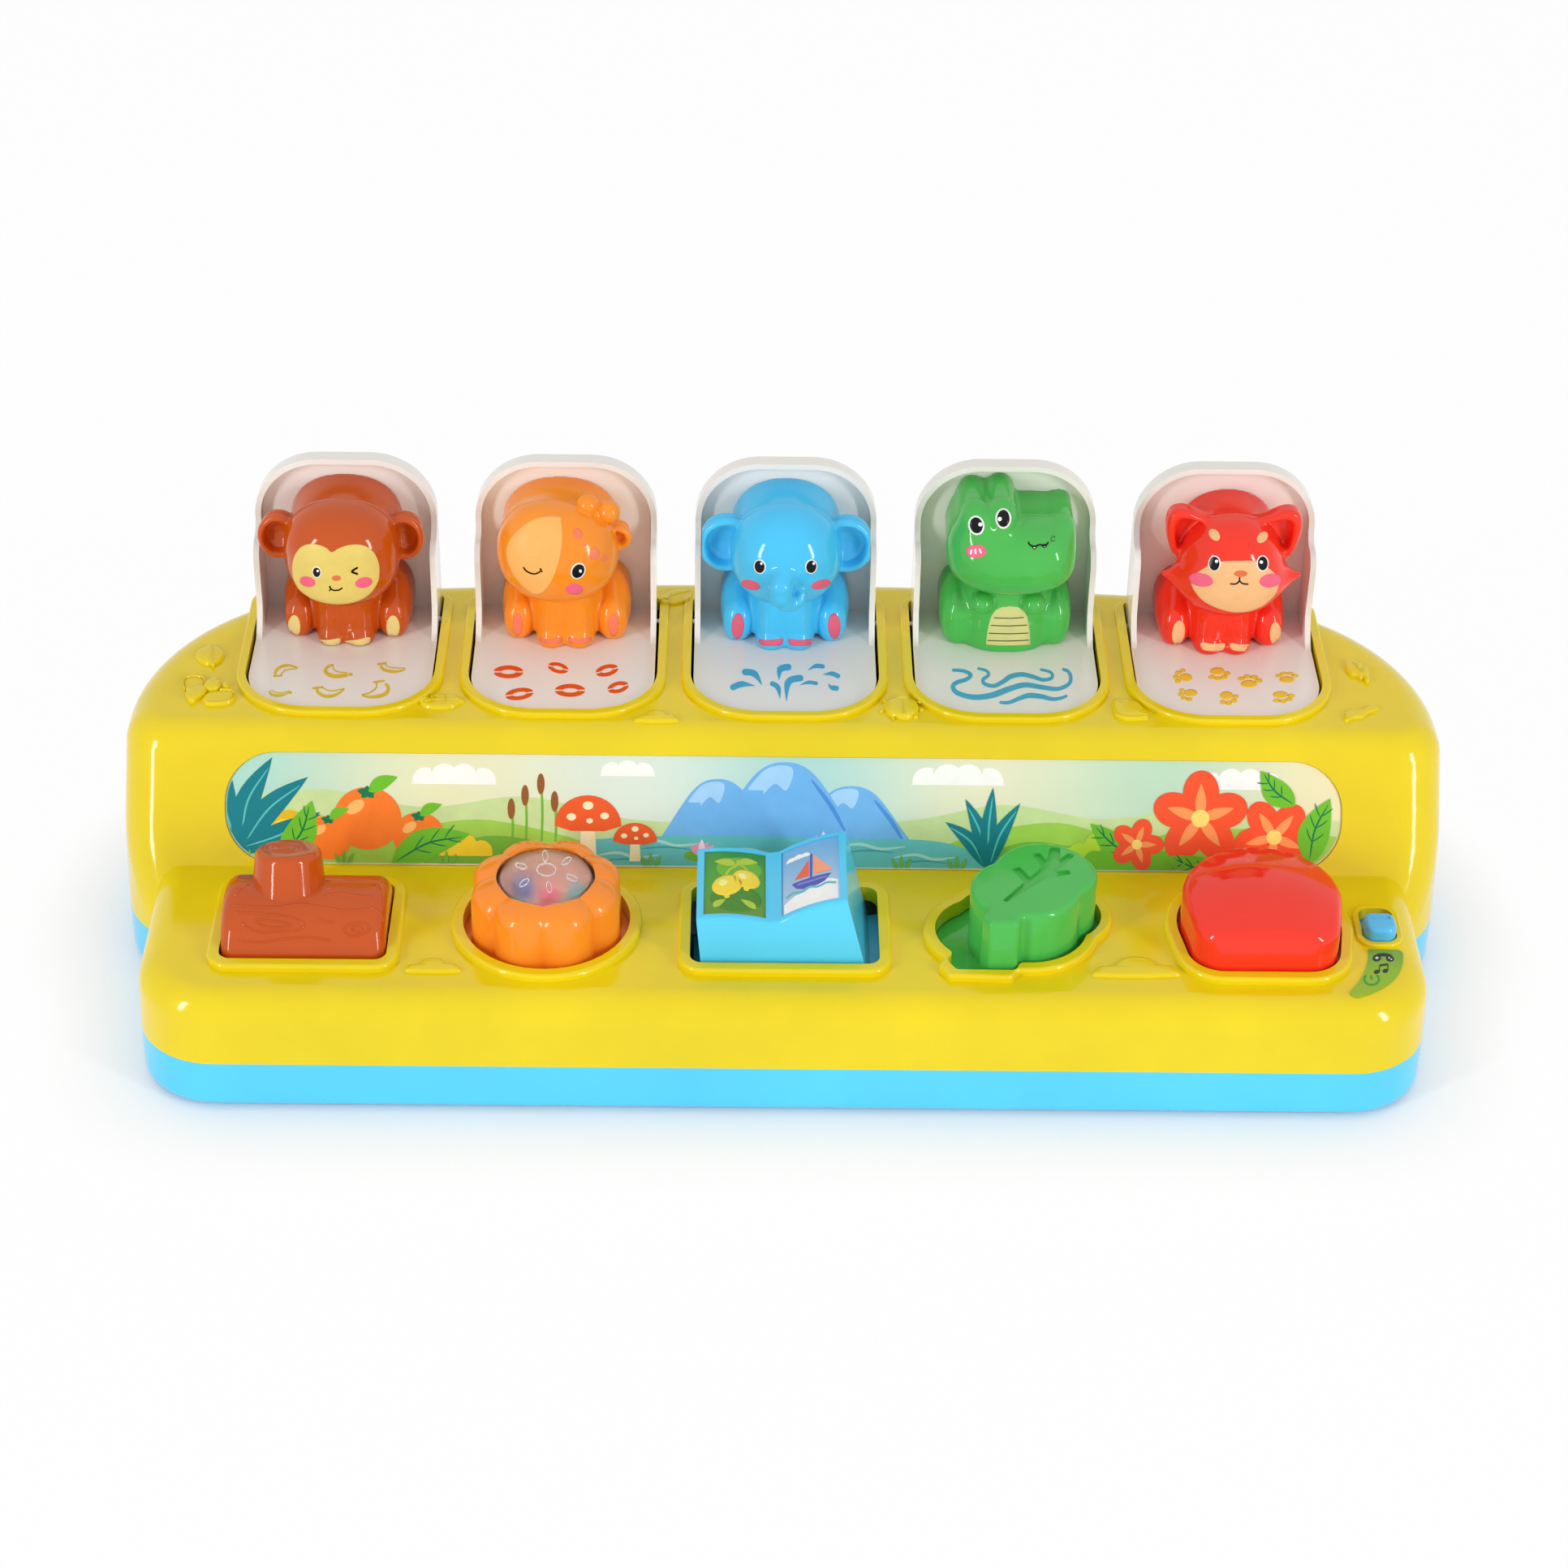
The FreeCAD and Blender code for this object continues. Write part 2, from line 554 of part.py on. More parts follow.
def mechanism_frame():
    parts = []
    for x in DOOR_X:
        parts.append(hinge_cheek(x + CHEEK_IN))
        parts.append(hinge_cheek(x - CHEEK_IN - CHEEK_T))
    end = DOOR_X[4] + CHEEK_IN + CHEEK_T
    parts.append(box(-end, end, 60.0, 62.0, 24.0, RAIL_TOP))
    parts.append(box(-end, end, 56.0, 62.0, TRAY_FLOOR, TRAY_FLOOR + 2.0))
    parts.append(box(-end, end, 57.6, 62.0, RAIL_TOP - 2.0, RAIL_TOP))
    room = prism(hump_outline(TRAY_FLOOR, WALL + 1.2), Vector(0, 0, SPLIT_Z - TRAY_FLOOR))
    return fuse(parts).common(room.fuse(hump_solid(WALL + 0.2))).removeSplitter()


def door_hinge_pins():
    half = CHEEK_IN + CHEEK_T
    return Part.makeCompound([rod_x(x - half, x + half, HINGE_Y, HINGE_Z, HINGE_PIN_R) for x in DOOR_X])


SPRING_X = (14.2, 18.8)    # gap in the door's hinge barrel that the torsion spring sits in


def door_springs():
    """Close-wound torsion springs round the hinge pins, as sleeves with their fixed legs."""
    springs = []
    for x in DOOR_X:
        x0, x1 = x + SPRING_X[0] + 0.3, x + SPRING_X[1] - 0.3
        coil = rod_x(x0, x1, HINGE_Y, HINGE_Z, 1.5).cut(rod_x(x0 - 1, x1 + 1, HINGE_Y, HINGE_Z, 1.08))
        leg = rod_y(x1 - 0.25, HINGE_Y + 0.2, 58.6, HINGE_Z - 1.27, 0.22)
        drop = rod(x1 - 0.25, 58.4, RAIL_TOP, HINGE_Z - 1.27, 0.22)
        springs.append(fuse([coil, leg, drop]))
    return Part.makeCompound(springs)


# ---------------------------------------------------------------- doors
def door(x):
    """L-shaped door: upright lid with a rim and side walls, floor plate, hinge barrel under the corner."""
    half, foot = DOOR_HALF_W, HUMP_Z - PLATE_T

    def lid_outline(y, inset):
        w, top, r = half - inset, DOOR_TOP_Z - inset, DOOR_CORNER_R - inset
        k = r * (1 - math.sqrt(0.5))
        steps = [
            ("at", (x - w, foot + inset)), ("line", (x + w, foot + inset)),
            ("line", (x + w, top - r)), ("arc", (x + w - k, top - k), (x + w - r, top)),
            ("line", (x - w + r, top)), ("arc", (x - w + k, top - k), (x - w, top - r)),
        ]
        return closed_outline(steps, lambda a, b: Vector(a, y, b))

    lid = prism(lid_outline(LID_BACK_Y, 0.0), Vector(0, -RIM_DEPTH, 0))
    lid = lid.cut(prism(lid_outline(LID_BACK_Y - DOOR_WALL, SIDE_T), Vector(0, -20.0, 0)))
    lid = round_over(lid, 1.2, lambda b: b.YMin > LID_BACK_Y - 0.01 and b.ZMax > HUMP_Z + 2)
    front = LID_BACK_Y - RIM_DEPTH
    side = [
        ("at", (LID_BACK_Y - 1.0, foot)), ("line", (LID_BACK_Y - 1.0, 94.5)), ("line", (front, 94.5)),
        ("arc", (front - 1.0, 92.0), (front - 4.6, 90.6)), ("arc", (front - 8.2, 89.0), (front - 9.2, 86.0)),
        ("line", (front - 9.2, 73.0)), ("arc", (front - 11.0, 69.6), (37.8, HUMP_Z)),
        ("line", (37.8, foot)),
    ]
    walls = []
    for x0 in (x - half, x + half - SIDE_T):
        wire = closed_outline(side, lambda y, z: Vector(x0, y, z))
        walls.append(prism(wire, Vector(SIDE_T, 0, 0)))
    plate = slab(x - half, x + half, PLATE_FRONT_Y, LID_BACK_Y - 1.0, foot, HUMP_Z, DOOR_CORNER_R, 0.5)
    barrel = rod_x(x - half + 0.2, x + half - 0.2, HINGE_Y, HINGE_Z, BARREL_R)
    shape = lid.fuse(walls + [plate, barrel])
    shape = shape.cut(box(x + SPRING_X[0], x + SPRING_X[1], HINGE_Y - 3, HINGE_Y + 3, HINGE_Z - 3,
                          HINGE_Z + 2.0))
    shape = shape.cut(rod_x(x - half - 1, x + half + 1, HINGE_Y, HINGE_Z, HINGE_PIN_R + RUNNING_GAP))
    return shape.removeSplitter()


# ---------------------------------------------------------------- animal figures
FIGURE_BACK = LID_BACK_Y - DOOR_WALL
FLOOR = HUMP_Z


def dome_head(x, z, r, y=41.0):
    """Round head: half a ball in front and a straight barrel back to the lid, as one turned form."""
    k = r * math.sqrt(0.5)
    steps = [
        ("at", (0, y - r)), ("arc", (k, y - k), (r, y)), ("line", (r, FIGURE_BACK)),
        ("line", (0, FIGURE_BACK)),
    ]
    half = closed_outline(steps, lambda a, b: Vector(x + a, b, z))
    return Part.Face(half).revolve(Vector(x, 0, z), Y_AXIS, 360)


def sitting_body(x):
    """Round sitting body with two front legs and two hind legs."""
    trunk = slab(x - 9.5, x + 9.5, 37.2, FIGURE_BACK, FLOOR, FLOOR + 17.0, 6.0, 1.0)
    front_legs = []
    hind_legs = []
    for side in (-1, 1):
        leg_x = x + side * 4.4
        knee = Part.makeSphere(4.2, Vector(leg_x, 39.0, FLOOR + 11))
        front_legs.append(rod(leg_x, 39.0, FLOOR, FLOOR + 11.0, 4.2).fuse(knee))
        hip_x = x + side * 12.0
        hip = slab(hip_x - 4.6, hip_x + 4.6, 41.5, FIGURE_BACK, FLOOR, FLOOR + 15.5, 4.2, 1.0)
        hip = round_over(hip, 4.0, lambda b: b.ZMin > FLOOR + 15.4 and b.XMax - b.XMin < 9.0
                         and b.YMax - b.YMin > 5)
        hind_legs.append(hip)
    return [trunk] + front_legs + hind_legs


def ring_ear(x, y, z, r, thickness=4.0):
    """Round ear with a dished front."""
    ear = rod_y(x, y, y + thickness, z, r)
    ear = round_over(ear, 1.2, lambda b: b.YMax < y + 0.01)
    return ear.cut(rod_y(x, y - 1, y + thickness - 1.5, z, r - 2.0))


def bounded(shape, x, reach=48.9):
    """Keep a figure inside its door's walls, floor and rim, and inside the arc that it swings through."""
    room = box(x - 21.9, x + 21.9, 20.0, FIGURE_BACK, FLOOR, FLOOR + 44.0)
    return shape.common(room.common(rod_x(x - 21.9, x + 21.9, HINGE_Y, HINGE_Z, reach)))


def monkey(x):
    z = FLOOR + 26.8
    parts = [dome_head(x, z, 14.6)] + sitting_body(x)
    parts += [ring_ear(x + s * 16.0, 38.6, z + 4.4, 5.6) for s in (-1, 1)]
    parts += [rod_y(x, FIGURE_BACK - 14.0, FIGURE_BACK, z + 0.4, 14.4)]
    return bounded(fuse(parts), x)


def giraffe(x):
    z = FLOOR + 27.4
    parts = [dome_head(x - 1.6, z, 14.8)] + sitting_body(x)
    parts.append(ring_ear(x + 14.4, 38.6, z + 6.4, 4.0))
    for bx, bz in ((7.4, 14.4), (11.2, 11.8)):
        parts.append(Part.makeSphere(3.4, Vector(x + bx, 41.0, z + bz)))
    return bounded(fuse(parts), x)


def elephant(x):
    z = FLOOR + 26.6
    parts = [dome_head(x, z, 14.4)] + sitting_body(x)
    parts += [ring_ear(x + s * 14.6, 39.4, z + 3.8, 7.2) for s in (-1, 1)]
    curl = Part.makeTorus(5.0, 2.6, Vector(x, 29.0, z - 5.6), Y_AXIS)
    parts.append(curl.common(box(x - 8, x + 1.5, 20, 40, z - 14, z + 3)))
    parts.append(Part.makeSphere(2.6, Vector(x + 1.5, 29.0, z - 10.4)))
    return bounded(fuse(parts), x)


def crocodile(x):
    """Head in three-quarter view: brow bumps at the left and a long snout to the right."""
    z = FLOOR
    skull_x, skull_z, skull_r = x - 4.6, z + 26.6, 11.2
    snout_x, snout_z, snout_r = x + 7.8, z + 25.8, 9.2
    along = Vector(snout_x - skull_x, 0, snout_z - skull_z)
    bridge = Part.makeCone(skull_r, snout_r, along.Length, Vector(skull_x, 41.0, skull_z), along)
    corners = [(skull_x, skull_z - skull_r), (snout_x, snout_z - snout_r), (snout_x, snout_z + snout_r),
               (skull_x, skull_z + skull_r), (skull_x, skull_z - skull_r)]
    rear = Part.makePolygon([Vector(a, FIGURE_BACK, b) for a, b in corners])
    brows = [dome_head(x - 10.2, z + 36.4, 4.8), dome_head(x - 2.2, z + 37.4, 4.6)]
    head = [dome_head(skull_x, skull_z, skull_r), dome_head(snout_x, snout_z, snout_r)]
    head += [bridge, prism(rear, Vector(0, 41.0 - FIGURE_BACK, 0))] + brows
    body = [slab(x - 10.5, x + 10.5, 37.8, FIGURE_BACK, z, z + 17.5, 8.0, 1.0)]
    for side in (-1, 1):
        hip_x = x + side * 12.4
        hip = slab(hip_x - 4.4, hip_x + 4.4, 41.0, FIGURE_BACK, z, z + 17.0, 4.2, 1.0)
        hip = round_over(hip, 4.0, lambda b: b.ZMin > z + 16.9 and b.XMax - b.XMin < 8.6
                         and b.YMax - b.YMin > 5)
        body.append(hip)
        body.append(Part.makeSphere(3.0, Vector(x + side * 6.4, 37.6, z + 14.0)))
    return bounded(fuse(head + body), x, 48.0)


def fox(x):
    z = FLOOR + 26.2
    parts = [dome_head(x, z, 14.4)] + sitting_body(x)
    for side in (-1, 1):
        steps = [
            ("at", (6.0, 11.0)), ("arc", (11.0, 15.2), (15.6, 16.0)), ("arc", (16.6, 11.0), (13.4, 3.0)),
        ]
        ear = closed_outline(steps, lambda a, b: Vector(x + side * a, 49.0, z + b))
        parts.append(prism(ear, Vector(0, -6.0, 0)))
        cheek = Part.makeCone(6.0, 0.6, 9.0, Vector(x + side * 9.6, 37.0, z - 3.0), Vector(side, 0, 0.1))
        parts.append(cheek)
    return bounded(fuse(parts), x, 47.0)


# ---------------------------------------------------------------- controls
def tilted_log(shape):
    return turned(shape, Vector(CONTROL_X[0], *LOG_AXIS), X_AXIS, LOG_REST_TILT)


def log_lever():
    """Hollow half log that rolls about its own axis, with a tapered stump to push."""
    x, (y, z) = CONTROL_X[0], LOG_AXIS
    half = LOG_OPENING_HALF_W - LOG_END_GAP
    body = rod_x(x - half, x + half, y, z, LOG_R)
    body = round_over(body, 3.4, lambda b: b.XMax - b.XMin < 0.1)
    inside = rod_x(x - half + 2, x + half - 2, y, z, LOG_R - 2)
    stump_x = x - 4.6
    stump = Part.makeCone(9.4, 8.1, 12.2, Vector(stump_x, y, z + 11.0), Z_AXIS)
    stump = round_over(stump, 1.8, lambda b: b.ZMin > z + 23.1)
    body = body.fuse(stump).cut(inside).cut(box(x - 30, x + 30, y - 20, y + 20, z - 20, z - 3.0))
    ends = [rod_x(x + s, x + s + 2, y, z, 4.0) for s in (-half, half - 2)]
    body = body.fuse(ends).cut(rod_x(x - 30, x + 30, y, z, PIN_R + RUNNING_GAP))
    return tilted_log(body.removeSplitter())


def log_pivot_pin():
    x, (y, z) = CONTROL_X[0], LOG_AXIS
    return rod_x(x - 22.8, x + 22.8, y, z, PIN_R)


KNOB_TOP = 48.6            # rim of the dome's seat
DOME_R = 12.2
PETALS = 8
PETAL_AT = 11.0            # centre of each petal, from the knob's axis
PETAL_R = 8.5
PETAL_TOP = 49.2


def petal():
    """One petal as a round post with a bowed top and a soft edge; neighbours meet in a crease."""
    edge_r, edge_z, foot = PETAL_R - 0.4, PETAL_TOP - 2.2, FLANGE_Z[0]
    steps = [
        ("at", (0, foot)), ("line", (PETAL_R, foot)), ("line", (edge_r, edge_z - 2.0)),
        ("arc", (edge_r - 0.6, edge_z - 0.2), (edge_r - 2.2, edge_z + 1.1)),
        ("arc", (edge_r / 2 - 0.8, PETAL_TOP - 0.25), (0, PETAL_TOP)),
    ]
    half = closed_outline(steps, lambda a, b: Vector(a, 0, b))
    return Part.Face(half).revolve(Vector(0, 0, 0), Z_AXIS, 360)


def flower_knob():
    """Turning knob: petal skirt, cover flange under the deck, shaft down to its bearing."""
    x, y = CONTROL_X[1], FLOWER_Y
    petals = []
    for i in range(PETALS):
        angle = 2 * math.pi * (i + 0.5) / PETALS
        petals.append(moved(petal(), x + PETAL_AT * math.cos(angle), y + PETAL_AT * math.sin(angle)))
    middle = rod(x, y, FLANGE_Z[0], KNOB_TOP - 1.0, DOME_R)
    flange = rod(x, y, FLANGE_Z[0], FLANGE_Z[1], 22.4)
    knob = middle.fuse(petals + [flange])
    knob = knob.cut([rod(x, y, FLANGE_Z[0] - 1, 38.0, 15.4), rod(x, y, 40.0, KNOB_TOP + 1, DOME_R - 0.9),
                     rod(x, y, 47.0, PETAL_TOP + 1, DOME_R)])
    return knob.fuse(rod(x, y, 8.0, 38.5, SHAFT_R)).removeSplitter()


def flower_dome():
    """Clear cap over the beads, with a thin rim that sits in the knob."""
    x, y = CONTROL_X[1], FLOWER_Y
    rise, t = 2.8, 1.0

    def cap(r, base, height):
        ball_r = (r * r + height * height) / (2 * height)
        ball = Part.makeSphere(ball_r, Vector(x, y, base + height - ball_r))
        return ball.common(rod(x, y, base, base + height + 1, r))

    rim = rod(x, y, 47.0, KNOB_TOP, DOME_R).cut(rod(x, y, 46.0, KNOB_TOP + 1, DOME_R - t))
    skin = cap(DOME_R, KNOB_TOP, rise).cut(cap(DOME_R - t, KNOB_TOP - 0.001, rise - t))
    return fuse([rim, skin])


def flower_beads():
    x, y = CONTROL_X[1], FLOWER_Y
    places = [(-7.0, -3.6), (5.6, -5.6), (-0.8, -7.8), (7.4, 2.6), (-5.6, 5.0), (0.8, 1.4)]
    bead = rod(0, 0, 40.0, 43.4, 2.5)
    bead = bead.makeChamfer(0.7, edges_where(bead, lambda b: b.ZMax - b.ZMin < 0.01))
    return Part.makeCompound([moved(bead, x + a, y + b) for a, b in places])


def tilted_book(shape):
    return turned(shape, Vector(CONTROL_X[2], 0, BOOK_AXIS_Z), Y_AXIS, BOOK_REST_TILT)


def book_solid(inset, y0, y1):
    """Open book before it is tilted: tapering sides and two bowed pages, pulled in by inset."""
    half_top, half_foot = 18.64 - inset, 20.9 - inset
    top, spine, page = 21.4 - inset, 17.7 - inset, 20.9 - inset
    foot = BOOK_FOOT if inset == 0 else BOOK_FOOT + 2.0
    steps = [
        ("at", (-half_foot, foot)), ("line", (half_foot, foot)), ("line", (half_top, top)),
        ("arc", (11.5, page), (1.4, spine)), ("line", (-1.4, spine)),
        ("arc", (-11.5, page), (-half_top, top)),
    ]
    x = CONTROL_X[2]
    wire = closed_outline(steps, lambda a, b: Vector(x + a, y0, BOOK_AXIS_Z + b))
    return prism(wire, Vector(0, y1 - y0, 0))


def page_layer(side, upper, lower, gap=0.0):
    """Layer of the book between two insets, cut to one page's window."""
    skin = book_solid(upper, *BOOK_Y).cut(book_solid(lower, BOOK_Y[0] - 1, BOOK_Y[1] + 1))
    x0, x1 = sorted((side * (PAGE_X[0] + gap), side * (PAGE_X[1] - gap)))
    y0, y1 = BOOK_Y[0] + PAGE_RIM + gap, BOOK_Y[1] - PAGE_RIM - gap
    return skin.common(box(CONTROL_X[2] + x0, CONTROL_X[2] + x1, y0, y1, BOOK_AXIS_Z + 12, BOOK_AXIS_Z + 30))


def book_rocker():
    """Hollow open book that rocks about a pin along Y, with side wings that close the opening below it."""
    x = CONTROL_X[2]
    body = book_solid(0.0, *BOOK_Y)
    body = round_over(body, 1.2, lambda b: b.ZMin > BOOK_AXIS_Z + 15 and
                      (b.YMax < BOOK_Y[0] + 0.01 or b.YMin > BOOK_Y[1] - 0.01))
    body = body.cut(book_solid(2.0, BOOK_Y[0] + 2, BOOK_Y[1] - 2))
    foot = BOOK_AXIS_Z + BOOK_FOOT
    body = body.fuse(box(x - 24.0, x + 24.0, BOOK_Y[0], BOOK_Y[1], foot, foot + 2.0))
    body = body.cut(rod_y(x, BOOK_Y[0] - 1, BOOK_Y[1] + 1, BOOK_AXIS_Z, PIN_R + RUNNING_GAP))
    body = body.cut([page_layer(side, -1.0, PAGE_RECESS) for side in (-1, 1)])
    return tilted_book(body.removeSplitter())


def book_page(side):
    """Printed sticker on one page, following its bow."""
    return tilted_book(page_layer(side, PAGE_RECESS - 0.2, PAGE_RECESS, 0.05))


def book_pivot_pin():
    return rod_y(CONTROL_X[2], WINDOW_Y[0] - 3.0, WINDOW_Y[1] + 3.0, BOOK_AXIS_Z, PIN_R)


LEAF_TOP = 49.4
VEIN_DEPTH = 0.9
VEINS = [                  # start, end, width at the start, width at the end
    ((53.8, -52.2), (66.0, -38.0), 1.4, 4.2),
    ((60.6, -44.6), (57.2, -37.8), 2.6, 2.4),
    ((66.0, -39.4), (62.6, -31.6), 3.0, 2.0),
    ((66.2, -38.6), (67.8, -29.0), 3.8, 2.6),
    ((66.2, -38.6), (71.8, -32.0), 3.0, 2.0),
    ((64.0, -41.2), (70.8, -39.6), 2.8, 2.2),
]


def vein(start, end, start_w, end_w):
    """Tapered groove in the leaf's top."""
    length = math.dist(start, end)
    steps = [
        ("at", (0, -start_w / 2)), ("line", (length, -end_w / 2)), ("line", (length, end_w / 2)),
        ("line", (0, start_w / 2)),
    ]
    outline = closed_outline(steps, lambda a, b: Vector(a, b, LEAF_TOP - VEIN_DEPTH))
    groove = round_over(prism(outline, Vector(0, 0, 2)), 0.4 * min(start_w, end_w), is_upright)
    groove.rotate(Vector(0, 0, 0), Z_AXIS, math.degrees(math.atan2(end[1] - start[1], end[0] - start[0])))
    return moved(groove, *start)


def leaf_slider():
    """Leaf-shaped grip with carved veins, on a flange that covers the opening over its travel."""
    grip = prism(leaf_outline(FLANGE_Z[1] - 0.5), Vector(0, 0, LEAF_TOP - FLANGE_Z[1] + 0.5))
    grip = round_over(grip, LEAF_NOTCH_R, is_upright)
    grip = grip.makeFillet(1.5, top_edges(grip, LEAF_TOP))
    inner = leaf_outline(FLANGE_Z[0] - 1, -2.4)
    y0, y1 = LEAF_FLANGE_MID_Y - LEAF_FLANGE_HALF_Y, LEAF_FLANGE_MID_Y + LEAF_FLANGE_HALF_Y
    flange = box(*LEAF_FLANGE_X, y0, y1, *FLANGE_Z)
    body = grip.fuse(flange).cut(prism(inner, Vector(0, 0, LEAF_TOP - 2.6 - FLANGE_Z[0] + 1)))
    return body.cut([vein(*v) for v in VEINS]).removeSplitter()


def red_button():
    """Domed press button: hollow cap, cover flange, guide stem in the tray's post."""
    x = CONTROL_X[4]
    crown, ball_r = 50.0, 53.0

    def cap(r, top, radius, z0):
        wall = prism(red_outline(x, RED_Y, r)(z0, 0.0), Vector(0, 0, top - z0 + 1))
        return wall.common(Part.makeSphere(radius, Vector(x, RED_Y, top - radius)))

    outer = cap(19.8, crown, ball_r, FLANGE_Z[0])
    outer = round_over(outer, 3.0, lambda b: b.ZMin > 44.0)
    button = outer.fuse(rod(x, RED_Y, FLANGE_Z[0], FLANGE_Z[1], 22.2))
    button = button.cut(cap(17.6, crown - 2.2, ball_r - 2.2, FLANGE_Z[0] - 1))
    button = button.fuse([rod(x, RED_Y, 10.0, 47.9, SHAFT_R),
                          box(x - 17, x + 17, RED_Y - 0.8, RED_Y + 0.8, FLANGE_Z[0], 44.0)])
    return button.removeSplitter()


def coil_spring(x, y, z0, z1, mean_r, wire, turns):
    """Compression spring: a helix of square wire."""
    pitch = (z1 - z0 - wire) / turns
    helix = Part.makeHelix(pitch, pitch * turns, mean_r)
    h = wire / 2
    corners = [Vector(mean_r + a * h, 0, b * h) for a, b in ((-1, -1), (1, -1), (1, 1), (-1, 1), (-1, -1))]
    section = Part.makePolygon(corners)
    coil = Part.Wire(helix.Edges).makePipeShell([section], True, True)
    return moved(coil, x, y, z0 + h)


def red_button_spring():
    return coil_spring(CONTROL_X[4], RED_Y, SPRING_SEAT_Z, FLANGE_Z[0], 6.6, 0.9, 4)


def mode_switch_knob():
    """Small slide knob with a grip groove, and a flange that covers its slot."""
    y0 = SWITCH_Y[0] + 0.4
    y1 = y0 + 7.8
    knob = slab(SWITCH_X - 4.0, SWITCH_X + 4.0, y0, y1, FLANGE_Z[0], 38.4, 2.6, 2.6)
    knob = round_over(knob, 1.3, lambda b: b.ZMin > 38.3)
    flange = box(SWITCH_X - 6.4, SWITCH_X + 5.0, y0 - 6.4, y1 + 6.4, *FLANGE_Z)
    stem = box(SWITCH_X - 1.2, SWITCH_X + 1.2, y0 + 2.4, y0 + 5.4, 24.0, FLANGE_Z[0])
    groove = rod_x(SWITCH_X - 2.6, SWITCH_X + 2.6, y0 + 5.2, 38.7, 0.8)
    return knob.fuse([flange, stem]).cut(groove).removeSplitter()


# ---------------------------------------------------------------- electrics and fasteners
def slide_switch():
    """Switch can under the mode knob, on its small board, with an open slot for the knob's stem."""
    x, y = SWITCH_X, (SWITCH_Y[0] + SWITCH_Y[1]) / 2
    can = box(x - 3.6, x + 3.6, y - 8.5, y + 8.5, 18.0, 26.6)
    can = can.cut(box(x - 1.8, x + 1.8, y - 6.9, y + 6.9, 22.0, 28.0))
    board = box(x - 6.0, x + 6.0, y - 10.0, y + 12.0, 16.4, 18.0)
    post = rod(x, y + 10.0, TRAY_FLOOR, 16.4, 2.2)
    return fuse([can, board, post])


def battery_door():
    """Flush door with finger ridges, held by one screw."""
    panel = battery_door_slab(0.0, TRAY_Z, TRAY_Z + DOOR_T)
    grip_y = POCKET_Y[0] + 4.0
    grip = [box(-9, 9, grip_y + 2 * i, grip_y + 0.8 + 2 * i, TRAY_Z - 0.1, TRAY_Z + 0.5) for i in range(4)]
    return panel.cut(grip).cut(rod(0, DOOR_SCREW_Y, TRAY_Z - 1, TRAY_Z + 2, BATTERY_SCREW_R))


def battery_door_screw():
    head = rod(0, DOOR_SCREW_Y, TRAY_Z - 0.8, TRAY_Z, 2.6)
    shank = rod(0, DOOR_SCREW_Y, TRAY_Z, 8.0, BATTERY_SCREW_R)
    return head.fuse(shank).cut(box(-0.4, 0.4, DOOR_SCREW_Y - 2, DOOR_SCREW_Y + 2, 0.0, TRAY_Z - 0.4))


def cell_rows():
    return [POCKET_Y[0] + 0.5 + CELL_PITCH * (i + 0.5) for i in range(3)]


def battery_cells():
    """Three AA cells side by side, with their raised ends turned alternately."""
    z = TRAY_Z + DOOR_T + CELL_R
    cells = []
    for i, y in enumerate(cell_rows()):
        tip = 1 if i % 2 == 0 else -1
        body = rod_x(-CELL_L / 2 + 0.8, CELL_L / 2 - 0.8, y, z, CELL_R)
        start = CELL_L / 2 - 0.8 if tip > 0 else -CELL_L / 2
        cells.append(body.fuse(rod_x(start, start + 0.8, y, z, 2.7)))
    return Part.makeCompound(cells)


def battery_contacts():
    """Plates at the pocket's ends, each with a raised dimple that meets its cell."""
    z = TRAY_Z + DOOR_T + CELL_R
    plates = []
    for i, y in enumerate(cell_rows()):
        for side in (-1, 1):
            wall = side * POCKET_HALF_X
            raised = (side > 0) == (i % 2 == 0)
            reach = 1.2 if raised else 2.0
            x0, x1 = sorted((wall, wall - side * 0.5))
            d0, d1 = sorted((wall, wall - side * reach))
            plates.append(fuse([box(x0, x1, y - 5, y + 5, z - 5, z + 5.5), rod_x(d0, d1, y, z, 2.2)]))
    return Part.makeCompound(plates)


def housing_screws():
    screws = []
    for x, y in SCREW_AT:
        head = rod(x, y, SCREW_SEAT_Z - 2.4, SCREW_SEAT_Z, 3.0)
        slot = box(x - 2.4, x + 2.4, y - 0.5, y + 0.5, SCREW_SEAT_Z - 3.0, SCREW_SEAT_Z - 1.4)
        screws.append(head.cut(slot).fuse(rod(x, y, SCREW_SEAT_Z, SPLIT_Z + 11, SCREW_R)))
    return Part.makeCompound(screws)


def speaker():
    """Round loudspeaker face down over the tray's grille holes."""
    x, y = SPEAKER_AT
    rim = rod(x, y, TRAY_FLOOR, TRAY_FLOOR + 1.6, 18.0)
    cone = Part.makeCone(16.0, 9.0, 4.0, Vector(x, y, TRAY_FLOOR + 1.6), Z_AXIS)
    magnet = rod(x, y, TRAY_FLOOR + 5.6, TRAY_FLOOR + 10.0, 8.5)
    hollow = Part.makeCone(15.0, 8.0, 4.0, Vector(x, y, TRAY_FLOOR - 0.01), Z_AXIS)
    return fuse([rim, cone, magnet]).cut(hollow)


def circuit_board():
    x, y = BOARD_AT
    board = box(x - 26, x + 26, y - 16, y + 16, 9.0, 10.6)
    posts = [rod(x + a, y + b, TRAY_FLOOR, 9.0, 2.4) for a in (-22, 22) for b in (-12, 12)]
    chip = box(x - 8, x + 6, y - 6, y + 8, 10.6, 12.4)
    capacitor = rod(x + 18, y - 4, 10.6, 18.0, 3.0)
    return fuse([board, chip, capacitor] + posts)


